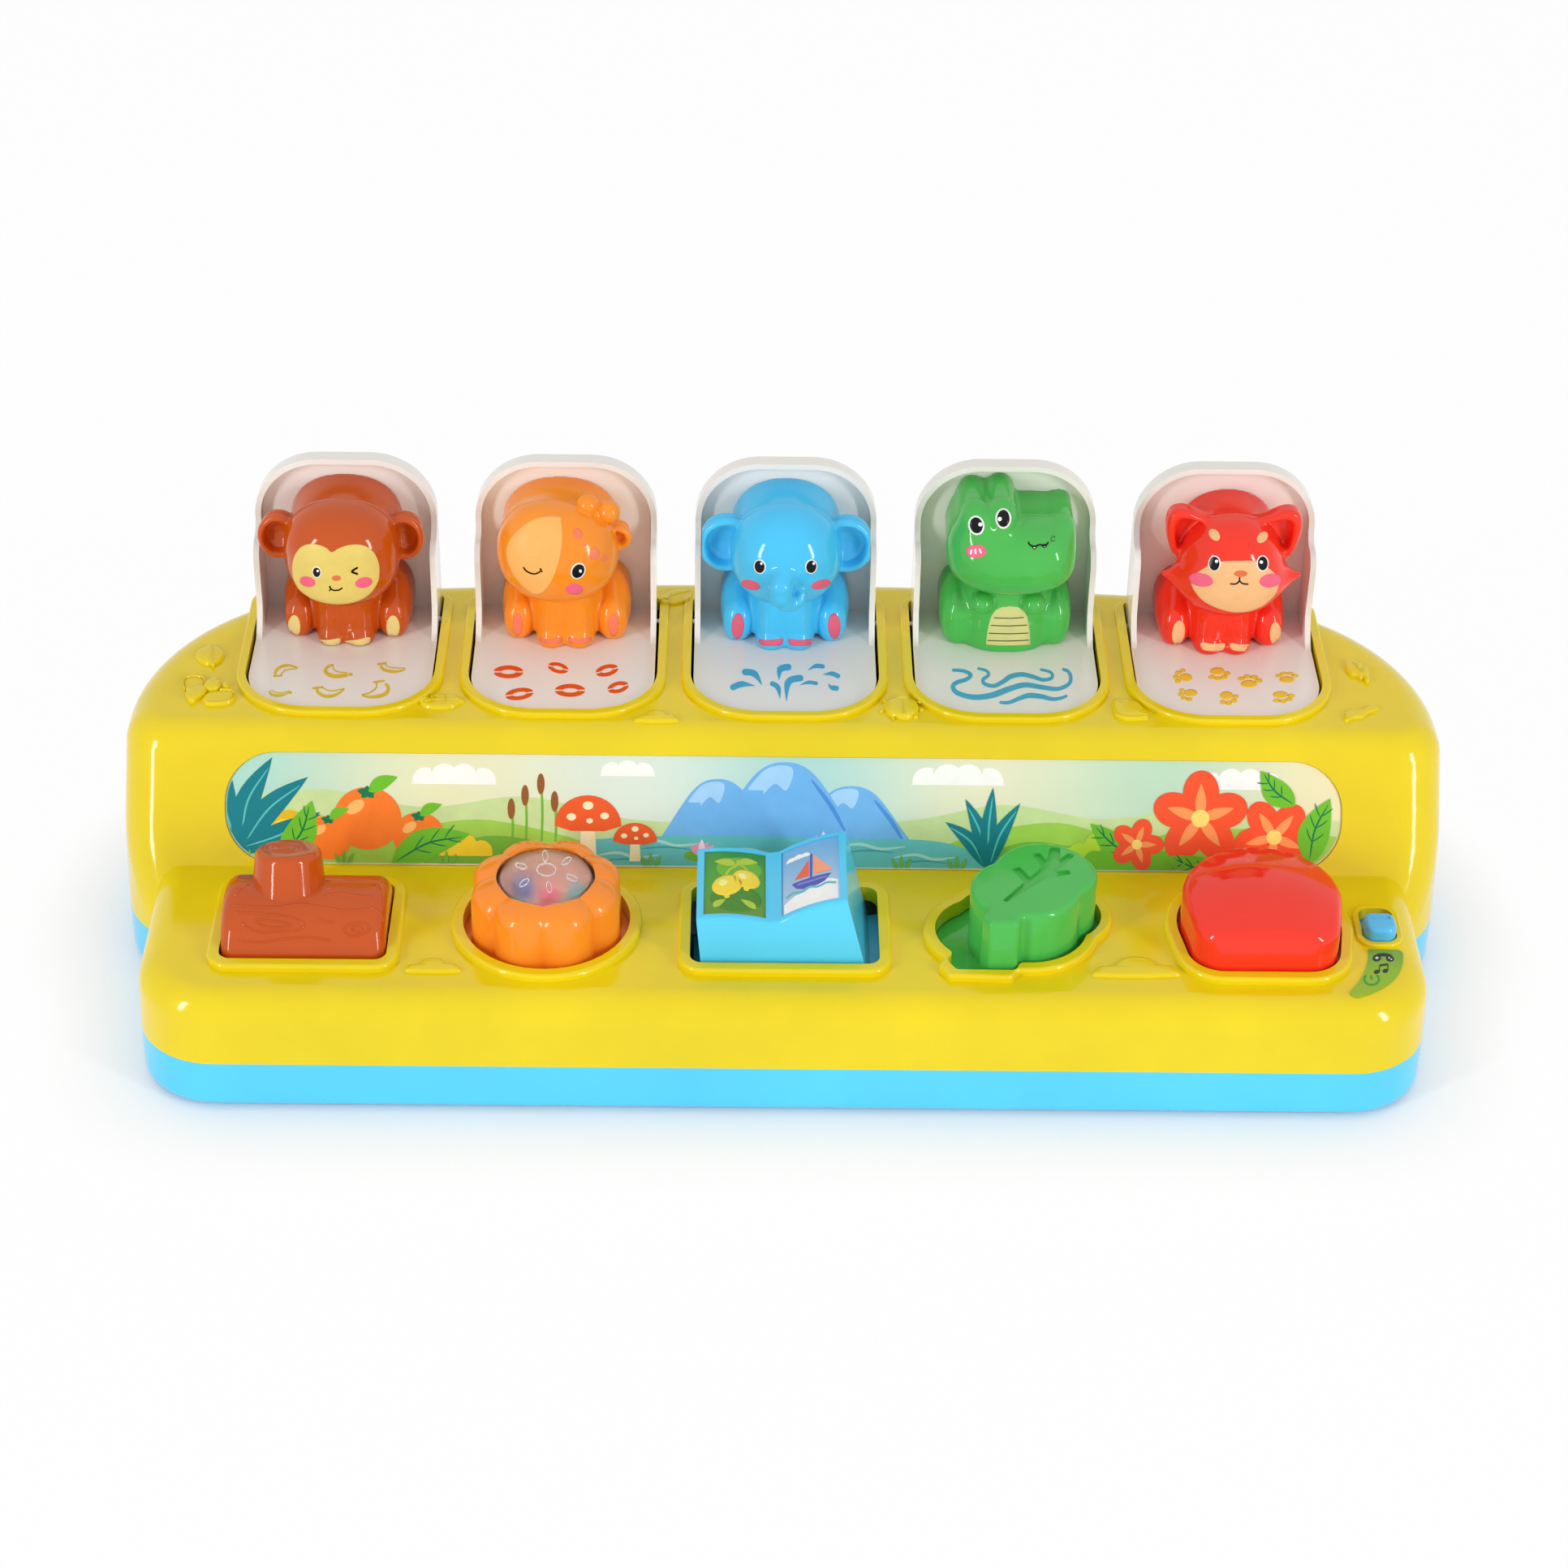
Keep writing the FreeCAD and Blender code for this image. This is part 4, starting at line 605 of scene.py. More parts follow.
def monkey(grid):
    head = egg(grid, (0, 41.4, 26.4), (15.0, 13.4, 13.9), 2.25)
    brow = egg(grid, (0, 38.4, 31.0), (12.0, 9.4, 7.4), 2.2, back=False)
    jowl = egg(grid, (0, 39.2, 22.2), (12.8, 10.6, 9.9), 2.2, back=False)
    head = join(join(head, brow, 3.0), jowl, 2.0)
    ears = [round_ear(grid, (s * 16.2 - 0.3, 41.6, 29.4), (4.1, 5.0), 1.25, 3.6) for s in (-1, 1)]
    shape = join(parted(head, grid, 42.4), sitting_body(grid), 0.6)
    for ear in ears:
        shape = join(shape, ear, 0.7)
    return shape


def giraffe(grid):
    head = egg(grid, (-1.4, 41.4, 26.6), (15.6, 13.4, 13.6), 2.2)
    muzzle = egg(grid, (-6.6, 38.6, 29.4), (9.2, 8.6, 11.2), 2.1, back=False)
    head = parted(join(head, muzzle, 4.0), grid, 41.6)
    shape = join(head, sitting_body(grid), 0.6)
    shape = join(shape, round_ear(grid, (13.2, 41.2, 30.2), (3.0, 2.5), 1.15, 2.8), 0.8)
    for x, z, r in ((6.2, 39.8, 2.9), (11.6, 37.9, 3.1), (9.0, 36.6, 2.4)):
        stem = limb(grid, (x, 42, z), (x - 1.0, 44, z - 5), 1.7, 1.7)
        shape = join(shape, join(ball(grid, (x, 41.2, z), r), stem, 0.3), 0.2)
    return shape


def elephant(grid):
    head = egg(grid, (0, 41.4, 26.6), (14.6, 13.6, 13.9), 2.15)
    ears = [round_ear(grid, (s * 15.4, 41.6, 28.3), (6.0, 6.4), 1.4, 4.0) for s in (-1, 1)]
    shape = join(parted(head, grid, 42.4), sitting_body(grid), 0.6)
    for ear in ears:
        shape = join(shape, ear, 0.8)
    trunk = None
    bends = [(-0.7, 28.6, 26.8, 3.0), (-1.4, 26.6, 24.8, 3.1), (-1.4, 26.3, 22.2, 2.9),
             (-0.1, 26.8, 20.0, 2.4), (1.8, 27.4, 19.2, 2.0), (3.4, 27.8, 20.2, 1.6), (3.9, 28.2, 21.4, 1.35)]
    for (x0, y0, z0, r0), (x1, y1, z1, r1) in zip(bends, bends[1:]):
        piece = limb(grid, (x0, y0, z0), (x1, y1, z1), r0, r1)
        trunk = piece if trunk is None else join(trunk, piece, 0.5)
    return join(shape, trunk, 1.6)


def crocodile(grid):
    head = egg(grid, (0.4, 42.0, 26.8), (15.6, 13.6, 9.6), 2.3)
    skull = egg(grid, (-6.0, 43.0, 30.0), (9.2, 10.4, 10.4), 2.3)
    snout = egg(grid, (8.0, 42.0, 29.0), (9.4, 13.4, 8.4), 2.7)
    head = join(join(head, skull, 3.0), snout, 3.0)
    for x, z, r, y in ((-9.0, 36.6, 4.3, 39.4), (-2.0, 37.4, 4.3, 38.2)):
        head = join(head, egg(grid, (x, y + 2.6, z), (r, 7.2, 5.6), 2.1), 1.4)
    head = join(head, egg(grid, (14.0, 43.0, 34.6), (3.0, 6.0, 3.4), 2.1), 2.2)
    head = parted(head, grid, 42.8)
    body = egg(grid, (0.4, 46.0, 7.0), (12.0, 11.6, 14.0), 2.6)
    for side in (-1, 1):
        hip = egg(grid, (side * 12.6 + 0.6, 47.0, 6.6), (4.6, 8.2, 8.2), 2.3)
        foot = egg(grid, (side * 12.4 + 0.6, 42.0, 6.4), (4.2, 4.6, 7.0), 2.2)
        body = join(body, join(hip, foot, 2.0), 1.5)
        hand = egg(grid, (side * 6.7 + 0.4, 36.2, 14.8), (3.0, 3.4, 2.8), 2.1, back=False)
        body = join(body, hand, 0.8)
    return join(head, body, 0.8)


def fox(grid):
    head = egg(grid, (0.6, 41.4, 25.0), (13.4, 13.4, 13.6), 2.15)
    jowl = egg(grid, (0.8, 40.0, 21.6), (14.0, 10.6, 8.6), 2.2, back=False)
    head = parted(join(head, jowl, 3.0), grid, 42.4)
    for side in (-1, 1):
        cheek = limb(grid, (0.8 + side * 12.0, 38.4, 22.0), (0.8 + side * 17.6, 39.2, 22.4), 3.0, 0.7)
        head = join(head, cheek, 2.6)
        outer = ((3.8, 35.8), (8.6, 38.4), (13.2, 40.4), (16.6, 39.4), (17.6, 35.6), (16.8, 30.6),
                 (14.4, 26.6), (8.0, 28.6))
        inner = ((6.4, 35.4), (11.0, 37.6), (14.4, 37.6), (15.2, 34.4), (14.8, 31.0), (13.4, 29.0),
                 (9.0, 31.0))
        outer, inner = (rounded([(0.8 + side * x, z) for x, z in loop]) for loop in (outer, inner))
        ear = polygon_form(grid, outer, 40.0, 45.6, 1.5)
        ear = carve(ear, polygon_form(grid, inner, 36.0, 43.6, 1.0), 0.9)
        head = join(head, ear, 0.8)
    return join(head, sitting_body(grid), 0.6)


SCULPTOR = {"monkey": monkey, "giraffe": giraffe, "elephant": elephant, "crocodile": crocodile, "fox": fox}
GRID_STEP = 0.42
GRID_LOW, GRID_HIGH = (-22.6, 22.0, -0.9), (22.6, 56.6, 45.6)
LID_HALF_W, LID_Y, FLOOR_GAP = 21.8, 55.78, 0.04    # room inside a door
SWING_R = {"monkey": 48.8, "giraffe": 48.8, "elephant": 48.8, "crocodile": 48.0, "fox": 47.0}
figures = {}


def sculpt(animal):
    """One figure, kept inside its door and inside the arc that it swings through."""
    grid = np.meshgrid(*(np.arange(a, b, GRID_STEP) for a, b in zip(GRID_LOW, GRID_HIGH)), indexing="ij")
    x, y, z = grid
    room = np.maximum(np.maximum(np.abs(x) - LID_HALF_W, y - LID_Y), FLOOR_GAP - z)
    swing = np.hypot(y - HINGE_Y, z + DECK - HINGE_Z) - SWING_R[animal]
    field = np.maximum(SCULPTOR[animal](grid), np.maximum(room, swing))
    points, faces = surface_net(field, np.array(GRID_LOW), GRID_STEP)
    normals = field_normals(field, np.array(GRID_LOW), GRID_STEP, points)
    points = points + np.array((DOOR_X[animal], 0.0, DECK))
    look = FIGURE_LOOK[animal]
    piece = new_piece("sculpted_" + animal, points, faces, MAT[look], animal + "_lid", normals=normals)
    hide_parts(animal + "_figure")
    figures[animal] = BVHTree.FromPolygons([tuple(p) for p in points],
                                           [tuple(int(i) for i in f) for f in faces])


for animal in DOOR_X:
    sculpt(animal)


# ---------------------------------------------------------------- prints
# A print ends where the surface falls away from it: no step of its mesh is longer than this,
# or than this in proportion where it has fewer rings than RINGS.
LEAP = 1.8
RINGS = 5
# The last ring of a print lies a little outside its outline and below the surface.
EDGE = (1.004, -0.06)


class Prints:
    """Printed shapes that lie on a surface; surface(point) gives a place on it and the direction out of it.

    A shape's lift is its height over the surface, so that one shape covers another.
    """

    def __init__(self, surface):
        self.surface = surface
        self.layers = {}

    def layer(self, ink_name):
        return self.layers.setdefault(ink_name, ([], []))

    def put(self, ink_name, point, lift):
        points = self.layer(ink_name)[0]
        place, out = self.surface(point)
        points.append(place + out * lift)
        return len(points) - 1

    def patch(self, ink_name, outline, lift, rings=RINGS):
        """Filled shape that its middle sees all of. Its rings are closer together towards its edge."""
        outline = [np.array(p, float) for p in outline]
        middle = sum(outline) / len(outline)
        n = len(outline)
        points, faces = self.layer(ink_name)
        hub = self.put(ink_name, middle, lift)
        loops = [[hub] * n]
        for share, height in [((k / rings) ** 0.7, lift) for k in range(1, rings + 1)] + [EDGE]:
            loop = [self.put(ink_name, middle + (p - middle) * share, height) for p in outline]
            for inner, outer in zip(loops[-1], loop):
                if (points[outer] - points[inner]).length > LEAP * max(1.0, RINGS / rings):
                    points[outer] = points[inner].copy()
            loops.append(loop)
        loops = loops[1:]
        for i in range(n):
            faces.append((hub, loops[0][i], loops[0][(i + 1) % n]))
            for a, b in zip(loops, loops[1:]):
                faces.append((a[i], b[i], b[(i + 1) % n], a[(i + 1) % n]))

    def stroke(self, ink_name, points, width, lift, taper=(1.0, 1.0), steps=8):
        """Line with round ends. taper gives the widths at its start and end, as shares of the middle's."""
        path = spline(points, steps=steps)
        lengths = [0.0]
        for a, b in zip(path, path[1:]):
            lengths.append(lengths[-1] + float(np.linalg.norm(b - a)))
        total = lengths[-1]
        faces = self.layer(ink_name)[1]
        rows = []
        for (p, side), run in zip(across(path), lengths):
            near_end, way = taper[run > total / 2], 2 * min(run, total - run) / total
            half = width / 2 * (near_end + (1 - near_end) * way)
            end = min(run, total - run) / max(half, 1e-6)
            if end < 1:
                half *= math.sqrt(max(0.0, 1 - (1 - end) ** 2))
            half = max(half, 0.02)
            rows.append([self.put(ink_name, p + side * half * k, lift) for k in (-1, 0, 1)])
        for a, b in zip(rows, rows[1:]):
            for k in (0, 1):
                faces.append((a[k], a[k + 1], b[k + 1], b[k]))

    def shape(self, ink_name, loop, lift):
        """Flat filled shape of any outline."""
        index = [self.put(ink_name, p, lift) for p in loop]
        for triangle in tessellate_polygon([[Vector((p[0], p[1], 0.0)) for p in loop]]):
            self.layer(ink_name)[1].append(tuple(index[i] for i in triangle))

    def finish(self, name, body, slot=None):
        for ink_name, (points, faces) in self.layers.items():
            piece = new_piece(name + "_" + ink_name.replace(" ", "_"), points, faces, INK[ink_name], body)


def seen_on(tree, sight):
    """Surface as it is seen from the camera. A ray that passes it keeps the last place that was met."""
    last = []

    def surface(point):
        place, out, _, _ = tree.ray_cast(EYE, sight.ray(point))
        if place is None and last:
            return last[-1]
        if place is None:
            place, out, _, _ = tree.find_nearest(sight.on_level(point, STEP))
        last[:] = [(place, -out if out.dot(FORWARD) > 0 else out)]
        return last[0]
    return surface


def on_deck(sight):
    """The floor plate of a door, which lies in the deck while the door is open."""
    return lambda point: (sight.on_level(point, DECK), Vector((0, 0, 1)))


def eye(prints, pupil, shine, rim_width):
    """Black oval with a white rim and a white shine."""
    x, y, rx, ry, turn = pupil
    prints.patch("white", oval(x, y, rx + rim_width, ry + rim_width, turn), 0.14)
    prints.patch("black", oval(*pupil), 0.19)
    prints.patch("white", oval(*shine, 18), 0.24, rings=2)


def ovals(prints, ink_name, places, lift, **more):
    """A patch for each oval, whose place is its middle, its two radii and its turn in degrees."""
    for place in places:
        prints.patch(ink_name, oval(*place), lift, **more)


def feet(prints, ink_name, soles, toes):
    """Soles of the hind feet, which are ovals, and tips of the front feet."""
    ovals(prints, ink_name, soles, 0.06)
    for outline in toes:
        prints.patch(ink_name, rounded(outline), 0.06)


def monkey_face(p):
    middle_x, middle_y = 555, 750
    heart = [(531, 624), (500, 600), (460, 583), (410, 577), (360, 592), (322, 640), (306, 710), (318, 790),
             (355, 850), (430, 900), (520, 925), (600, 927), (690, 905), (755, 860), (795, 795), (803, 740),
             (800, 690), (775, 630), (730, 592), (680, 580), (620, 585), (570, 603)]
    pupil, shine = (450, 738, 20, 26, -8), (456, 730, 7, 7, 0)
    wink = [(676, 711), (657, 722), (639, 735)], [(639, 735), (657, 742), (677, 749)]
    cheeks = (400, 790, 44, 28, 15), (708, 795, 48, 29, -12)
    nose = (558, 771, 25, 15)
    smile, dimple = [(521, 812), (527, 828), (545, 837), (572, 835), (592, 823)], [(517, 842), (529, 830)]
    soles = (325, 1040, 34, 64, 0), (870, 1042, 37, 64, 0)
    toes = ([(440, 1107), (505, 1114), (578, 1104), (568, 1138), (510, 1149), (452, 1138)],
            [(608, 1120), (672, 1112), (741, 1098), (732, 1136), (677, 1150), (618, 1141)])
    heart = [(middle_x + (x - middle_x) * 0.965,
              middle_y + (y - middle_y) * (0.93 if y > middle_y else 0.96))
             for x, y in heart]
    p.patch("face", rounded(heart), 0.11, rings=26)
    eye(p, pupil, shine, 5.0)
    for line in wink:
        p.stroke("black", line, 11, 0.18)
    ovals(p, "pink", cheeks, 0.15)
    ovals(p, "nose", [nose], 0.15)
    p.stroke("black", smile, 8, 0.18)
    p.stroke("black", dimple, 6, 0.18)
    feet(p, "cream", soles, toes)


def elephant_face(p):
    left_pupil, left_shine = (431, 708, 27, 34, -10), (441, 690, 7, 8, 0)
    right_pupil, right_shine = (714, 708, 27, 34, 10), (727, 690, 7, 8, 0)
    cheeks = (380, 809, 55, 26, 15), (769, 806, 56, 25, -15)
    soles = (309, 1037, 35, 71, 3), (842, 1037, 35, 71, -3)
    toes = ([(426, 1108), (490, 1113), (557, 1105), (548, 1140), (492, 1147), (438, 1140)],
            [(590, 1107), (655, 1113), (720, 1106), (710, 1139), (655, 1147), (600, 1141)])
    eye(p, left_pupil, left_shine, 6.0)
    eye(p, right_pupil, right_shine, 6.0)
    ovals(p, "coral", cheeks, 0.06)
    feet(p, "coral", soles, toes)


def giraffe_face(p):
    muzzle = [(583, 435), (530, 429), (460, 440), (380, 482), (310, 552), (285, 625), (300, 700), (350, 790),
              (420, 852), (455, 862), (490, 848), (535, 790), (570, 700), (590, 605), (594, 520), (588, 460)]
    mouth = [(380, 709), (400, 733), (435, 747), (463, 741), (478, 728), (472, 716)]
    dimple = [(477, 731), (487, 737)]
    pupil, shine = (682, 732, 31, 40, 32), (694, 731, 8, 9, 0)
    cheek = (661, 832, 48, 30)
    spots = (680, 527, 26, 31, -30), (722, 585, 12, 12, 0), (772, 638, 27, 33, 0), (827, 660, 14, 22, 0)
    soles = (348, 1028, 27, 62, 0), (878, 1030, 28, 62, 0)
    toes = ([(470, 1101), (530, 1108), (592, 1100), (587, 1128), (535, 1135), (480, 1126)],
            [(632, 1101), (690, 1107), (752, 1096), (745, 1126), (695, 1134), (641, 1129)])
    p.patch("muzzle", rounded(muzzle), 0.07, rings=22)
    p.stroke("black", mouth, 8, 0.14)
    p.stroke("black", dimple, 7, 0.14)
    eye(p, pupil, shine, 7.0)
    ovals(p, "pink", [cheek], 0.06)
    ovals(p, "rose", spots, 0.06)
    feet(p, "rose", soles, toes)


def crocodile_face(p):
    left_pupil, left_shine = (551, 481, 34, 44, -12), (572, 476, 11, 11, 0)
    right_pupil, right_shine = (700, 443, 33, 46, 0), (681, 447, 11, 11, 0)
    cheek, nostril = (550, 624, 57, 37), (974, 556, 10, 15, 15, 16)
    cheek_marks = [(520, 642), (526, 614)], [(549, 640), (545, 610)], [(579, 636), (567, 608)]
    mouth = [(838, 572), (846, 588), (868, 598), (890, 592), (905, 588), (922, 593), (940, 587), (948, 573)]
    teeth = [(857, 597), (884, 595), (871, 612)], [(911, 591), (940, 586), (927, 603)]
    belly = [(604, 1138), (606, 1110), (610, 1075), (618, 1035), (632, 985), (655, 950), (690, 932),
             (735, 927), (780, 932), (812, 950), (832, 985), (842, 1040), (846, 1085), (848, 1112),
             (848, 1138), (815, 1141), (775, 1143), (725, 1144), (680, 1143), (640, 1141)]
    folds = (((646, 990), (816, 988)), ((627, 1032), (834, 1030)), ((616, 1075), (842, 1074)),
             ((609, 1115), (846, 1113)))
    eye(p, left_pupil, left_shine, 10.0)
    eye(p, right_pupil, right_shine, 10.0)
    ovals(p, "pink", [cheek], 0.06)
    for mark in cheek_marks:
        p.stroke("white", mark, 10, 0.12)
    for tooth in teeth:
        p.patch("white", tooth, 0.1, rings=2)
        p.stroke("black", tooth + tooth[:1], 5, 0.14, steps=3)
    p.stroke("black", mouth, 8, 0.15)
    p.stroke("line", oval(*nostril), 3, 0.1, steps=2)
    p.patch("sand", belly, 0.06, rings=16)
    for (x0, y0), (x1, y1) in folds:
        p.stroke("line", [(x0, y0), ((x0 + x1) / 2, y0 + 3), (x1, y1)], 5, 0.12)


def fox_face(p):
    face = [(560, 661), (640, 659), (725, 661), (790, 692), (845, 745), (850, 790), (832, 840), (780, 890),
            (710, 925), (620, 935), (530, 915), (450, 875), (402, 822), (383, 775), (400, 735), (445, 702),
            (500, 672)]
    cheeks = (436, 760, 66, 36, 10), (806, 764, 58, 37, -8)
    left_pupil, left_shine = (508, 673, 27, 37, 0), (520, 661, 9, 9, 0)
    right_pupil, right_shine = (765, 672, 26, 37, 0), (757, 665, 9, 9, 0)
    nose = (648, 727, 36, 17)
    mouth = ([(643, 744), (641, 762)], [(590, 781), (618, 782), (634, 774), (641, 762)],
             [(641, 762), (650, 774), (664, 781), (690, 783)])
    ears = (507, 519, 36, 25, 50), (765, 532, 35, 24, -48)
    soles = (314, 1045, 34, 66, 8), (835, 1052, 30, 65, 0)
    toes = ([(435, 1098), (500, 1105), (562, 1102), (552, 1137), (500, 1144), (445, 1134)],
            [(592, 1101), (655, 1109), (721, 1102), (711, 1137), (660, 1144), (602, 1136)])
    p.patch("peach", rounded(face), 0.07, rings=24)
    ovals(p, "pink", cheeks, 0.09)
    eye(p, left_pupil, left_shine, 6.0)
    eye(p, right_pupil, right_shine, 6.0)
    ovals(p, "nose", [nose], 0.1)
    for line in mouth:
        p.stroke("black", line, 8, 0.14)
    ovals(p, "peach", ears, 0.06)
    feet(p, "peach", soles, toes)


def banana(prints, outer, inner, cap, widths):
    """Outline of a banana: a broad outer edge, a thin inner edge and a cap at the stem."""
    for path, width, taper in zip((outer, inner, cap), widths, ((0.45, 0.8), (0.7, 0.8), (1.0, 1.0))):
        prints.stroke("banana", path, width, 0.05, taper=taper, steps=6)


def hoof(prints, x, y, rx, ry, turn):
    """Hoof print: two crescents that face each other."""
    for side in (-1, 1):
        outer = arc(0, 0, rx, side * ry, 7, 173, 15)
        inner = arc(0, side * 1.5, rx * 0.48, side * ry * 0.3, 7, 173, 15)
        prints.shape("hoof", turned(outer + inner[::-1], x, y, turn), 0.04)


def paw(prints, x, y, rx, ry, toward):
    prints.patch("paw", oval(x, y, rx, ry), 0.04, rings=2)
    for k, far in ((-1.5, 1.4), (-0.5, 1.5), (0.5, 1.5), (1.5, 1.4)):
        a = math.radians(toward + k * 34)
        toe_x, toe_y = x + far * rx * math.cos(a), y + far * ry * 1.25 * math.sin(a)
        prints.patch("paw", oval(toe_x, toe_y, rx * 0.48, ry * 0.56, count=20), 0.04, rings=2)


# Outer edge, inner edge, cap at the stem, and the widths of the three lines.
BANANAS = [
    ([(420, 153), (350, 127), (270, 122), (190, 148), (148, 192), (142, 240)],
     [(412, 160), (330, 165), (265, 180), (225, 215), (210, 243)],
     [(112, 250), (168, 249), (226, 245)], (38, 17, 24)),
    ([(862, 112), (800, 130), (758, 180), (800, 232), (900, 254), (1040, 238)],
     [(850, 120), (865, 170), (920, 200), (1040, 210)],
     [(1066, 210), (1068, 230), (1066, 250)], (50, 17, 58)),
    ([(1745, 158), (1700, 184), (1620, 196), (1530, 186), (1462, 160), (1442, 118)],
     [(1742, 152), (1640, 150), (1540, 140), (1492, 106)],
     [(1396, 106), (1455, 100), (1516, 90)], (40, 15, 26)),
    ([(300, 456), (230, 486), (150, 490), (84, 468), (74, 430)],
     [(290, 440), (220, 458), (150, 453), (92, 425)],
     [(292, 444), (318, 450), (346, 458)], (36, 15, 34)),
    ([(992, 412), (900, 476), (810, 500), (732, 490), (672, 454), (652, 406)],
     [(1000, 404), (940, 415), (860, 433), (780, 423), (722, 390)],
     [(594, 402), (662, 394), (734, 386)], (42, 17, 26)),
    ([(1206, 488), (1310, 508), (1420, 498), (1508, 462), (1536, 400), (1496, 338)],
     [(1206, 478), (1280, 465), (1350, 430), (1390, 380), (1386, 330)],
     [(1347, 328), (1418, 318), (1492, 308)], (46, 21, 26)),
]
# Middle, two radii and the turn in degrees of each hoof print; of each paw print, the way its toes point.
HOOFS = [(298, 1290, 83, 36, 0), (572, 1268, 58, 29, 14), (842, 1282, 64, 32, -14), (358, 1412, 79, 33, -8),
         (638, 1392, 84, 36, 0), (903, 1375, 60, 31, -14)]
PAWS = [(353, 1286, 35, 22, 200), (523, 1252, 40, 21, 70), (692, 1320, 44, 21, -80), (896, 1297, 40, 18, -90),
        (380, 1368, 36, 20, 150), (572, 1382, 36, 22, 60), (862, 1378, 42, 19, 60)]


def bananas(p):
    for outline in BANANAS:
        banana(p, *outline)


def hoof_prints(p):
    for print_place in HOOFS:
        hoof(p, *print_place)


def splashes(p):
    drops = [((332, 1290), (400, 1300), (444, 1364), 36), ((268, 1382), (330, 1358), (404, 1367), 34),
             ((606, 1262), (545, 1275), (537, 1336), 36), ((488, 1350), (530, 1375), (543, 1438), 28),
             ((672, 1322), (590, 1345), (578, 1453), 36), ((790, 1262), (740, 1258), (696, 1281), 24),
             ((752, 1355), (700, 1348), (650, 1364), 20), ((874, 1319), (830, 1300), (779, 1305), 26),
             ((868, 1382), (825, 1375), (809, 1354), 28)]
    for a, b, c, width in drops:
        p.stroke("water", [a, b, c], width, 0.04, taper=(1.0, 0.05), steps=14)


def wave_lines(p):
    long_wave = [(415, 1280), (480, 1285), (520, 1306), (496, 1331), (440, 1350), (422, 1375), (450, 1408),
                 (540, 1430), (640, 1418), (730, 1385), (820, 1362), (920, 1376), (1000, 1384), (1060, 1358),
                 (1072, 1320), (1058, 1288), (1024, 1274)]
    upper_wave = [(555, 1270), (606, 1284), (618, 1308), (588, 1333), (600, 1358), (650, 1367), (700, 1343),
                  (740, 1316), (800, 1304), (860, 1316), (920, 1334), (968, 1322), (960, 1292), (900, 1276)]
    low_wave = [(676, 1458), (730, 1459), (790, 1436), (840, 1421), (910, 1426), (970, 1440), (1020, 1434),
                (1054, 1420)]
    for path, width in ((long_wave, 34), (upper_wave, 28), (low_wave, 30)):
        p.stroke("water", path, width, 0.04, taper=(0.5, 0.5))


def paw_prints(p):
    for print_place in PAWS:
        paw(p, *print_place)


for animal, draw in (("monkey", monkey_face), ("elephant", elephant_face), ("giraffe", giraffe_face),
                     ("crocodile", crocodile_face), ("fox", fox_face)):
    face = Prints(seen_on(figures[animal], VIEW[animal]))
    draw(face)
    face.finish(animal + "_print", animal + "_lid")
for animal, view, draw in (("monkey", "bananas", bananas), ("giraffe", "giraffe", hoof_prints),
                           ("elephant", "elephant", splashes), ("crocodile", "crocodile", wave_lines),
                           ("fox", "fox", paw_prints)):
    plate = Prints(on_deck(VIEW[view]))
    draw(plate)
    plate.finish(animal + "_plate", animal + "_lid")


# ---------------------------------------------------------------- printed artwork
def node_surface(node):
    """Surface of a CAD node, in millimetres, that rays can be cast onto."""
    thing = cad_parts[node]
    points = [tuple(c / MM for c in thing.matrix_world @ v.co) for v in thing.data.vertices]
    return BVHTree.FromPolygons(points, [tuple(p.vertices) for p in thing.data.polygons])


ART = {
    "glow": (250, 240, 196), "cloud": (252, 252, 246), "far hill": (202, 226, 160),
    "peak": (116, 184, 240), "peak light": (168, 214, 250), "peak dark": (80, 148, 222),
    "hill": (160, 210, 84), "hill dark": (116, 184, 62), "lake": (104, 198, 200),
    "ripple": (172, 228, 220), "deep": (66, 166, 180), "bush": (246, 216, 48),
    "bush dark": (232, 190, 34), "teal": (24, 128, 140), "teal light": (92, 196, 190),
    "frond": (112, 194, 48), "vein green": (22, 122, 78), "fruit": (250, 128, 44),
    "fruit light": (255, 190, 108), "cap": (240, 96, 44), "petal": (246, 88, 50),
    "petal light": (255, 158, 92), "heart": (255, 226, 120), "lily": (244, 160, 200),
    "lily light": (252, 226, 238), "reed": (150, 92, 44), "lime": (180, 222, 60), "lemon": (250, 222, 70),
    "lemon light": (255, 242, 150), "page dark": (80, 140, 52), "stalk": (182, 206, 70),
    "indigo": (92, 98, 188), "indigo light": (142, 148, 222), "snow": (250, 250, 250),
    "sail": (250, 168, 132), "sail dark": (238, 110, 80), "icon": (58, 62, 52),
    "icon green": (60, 160, 60),
}
for art_ink, art_rgb in ART.items():
    INK[art_ink] = ink(art_ink + " ink", art_rgb)


def axis_of(base, tip):
    """Two points as arrays, the way from the first to the second, and the direction to its left."""
    base, tip = np.array(base, float), np.array(tip, float)
    along = tip - base
    return base, along, np.array((-along[1], along[0])) / np.linalg.norm(along)


def leaf_loop(base, tip, width, bow=0.0):
    """Pointed leaf from base to tip; bow bends it to one side."""
    base, along, side = axis_of(base, tip)
    left, right = [], []
    for t in np.linspace(0, 1, 11):
        middle = base + along * t + side * bow * math.sin(math.pi * t)
        half = width / 2 * math.sin(math.pi * t ** 0.8) ** 0.9 if 0 < t < 1 else 0.02
        left.append(middle + side * half)
        right.append(middle - side * half)
    return left + right[::-1][1:-1]


def rolling(points, floor):
    """Land with a rolling upper edge, down to the level floor."""
    top = spline(points, steps=6)
    return [np.array((top[0][0], floor))] + top + [np.array((top[-1][0], floor))]


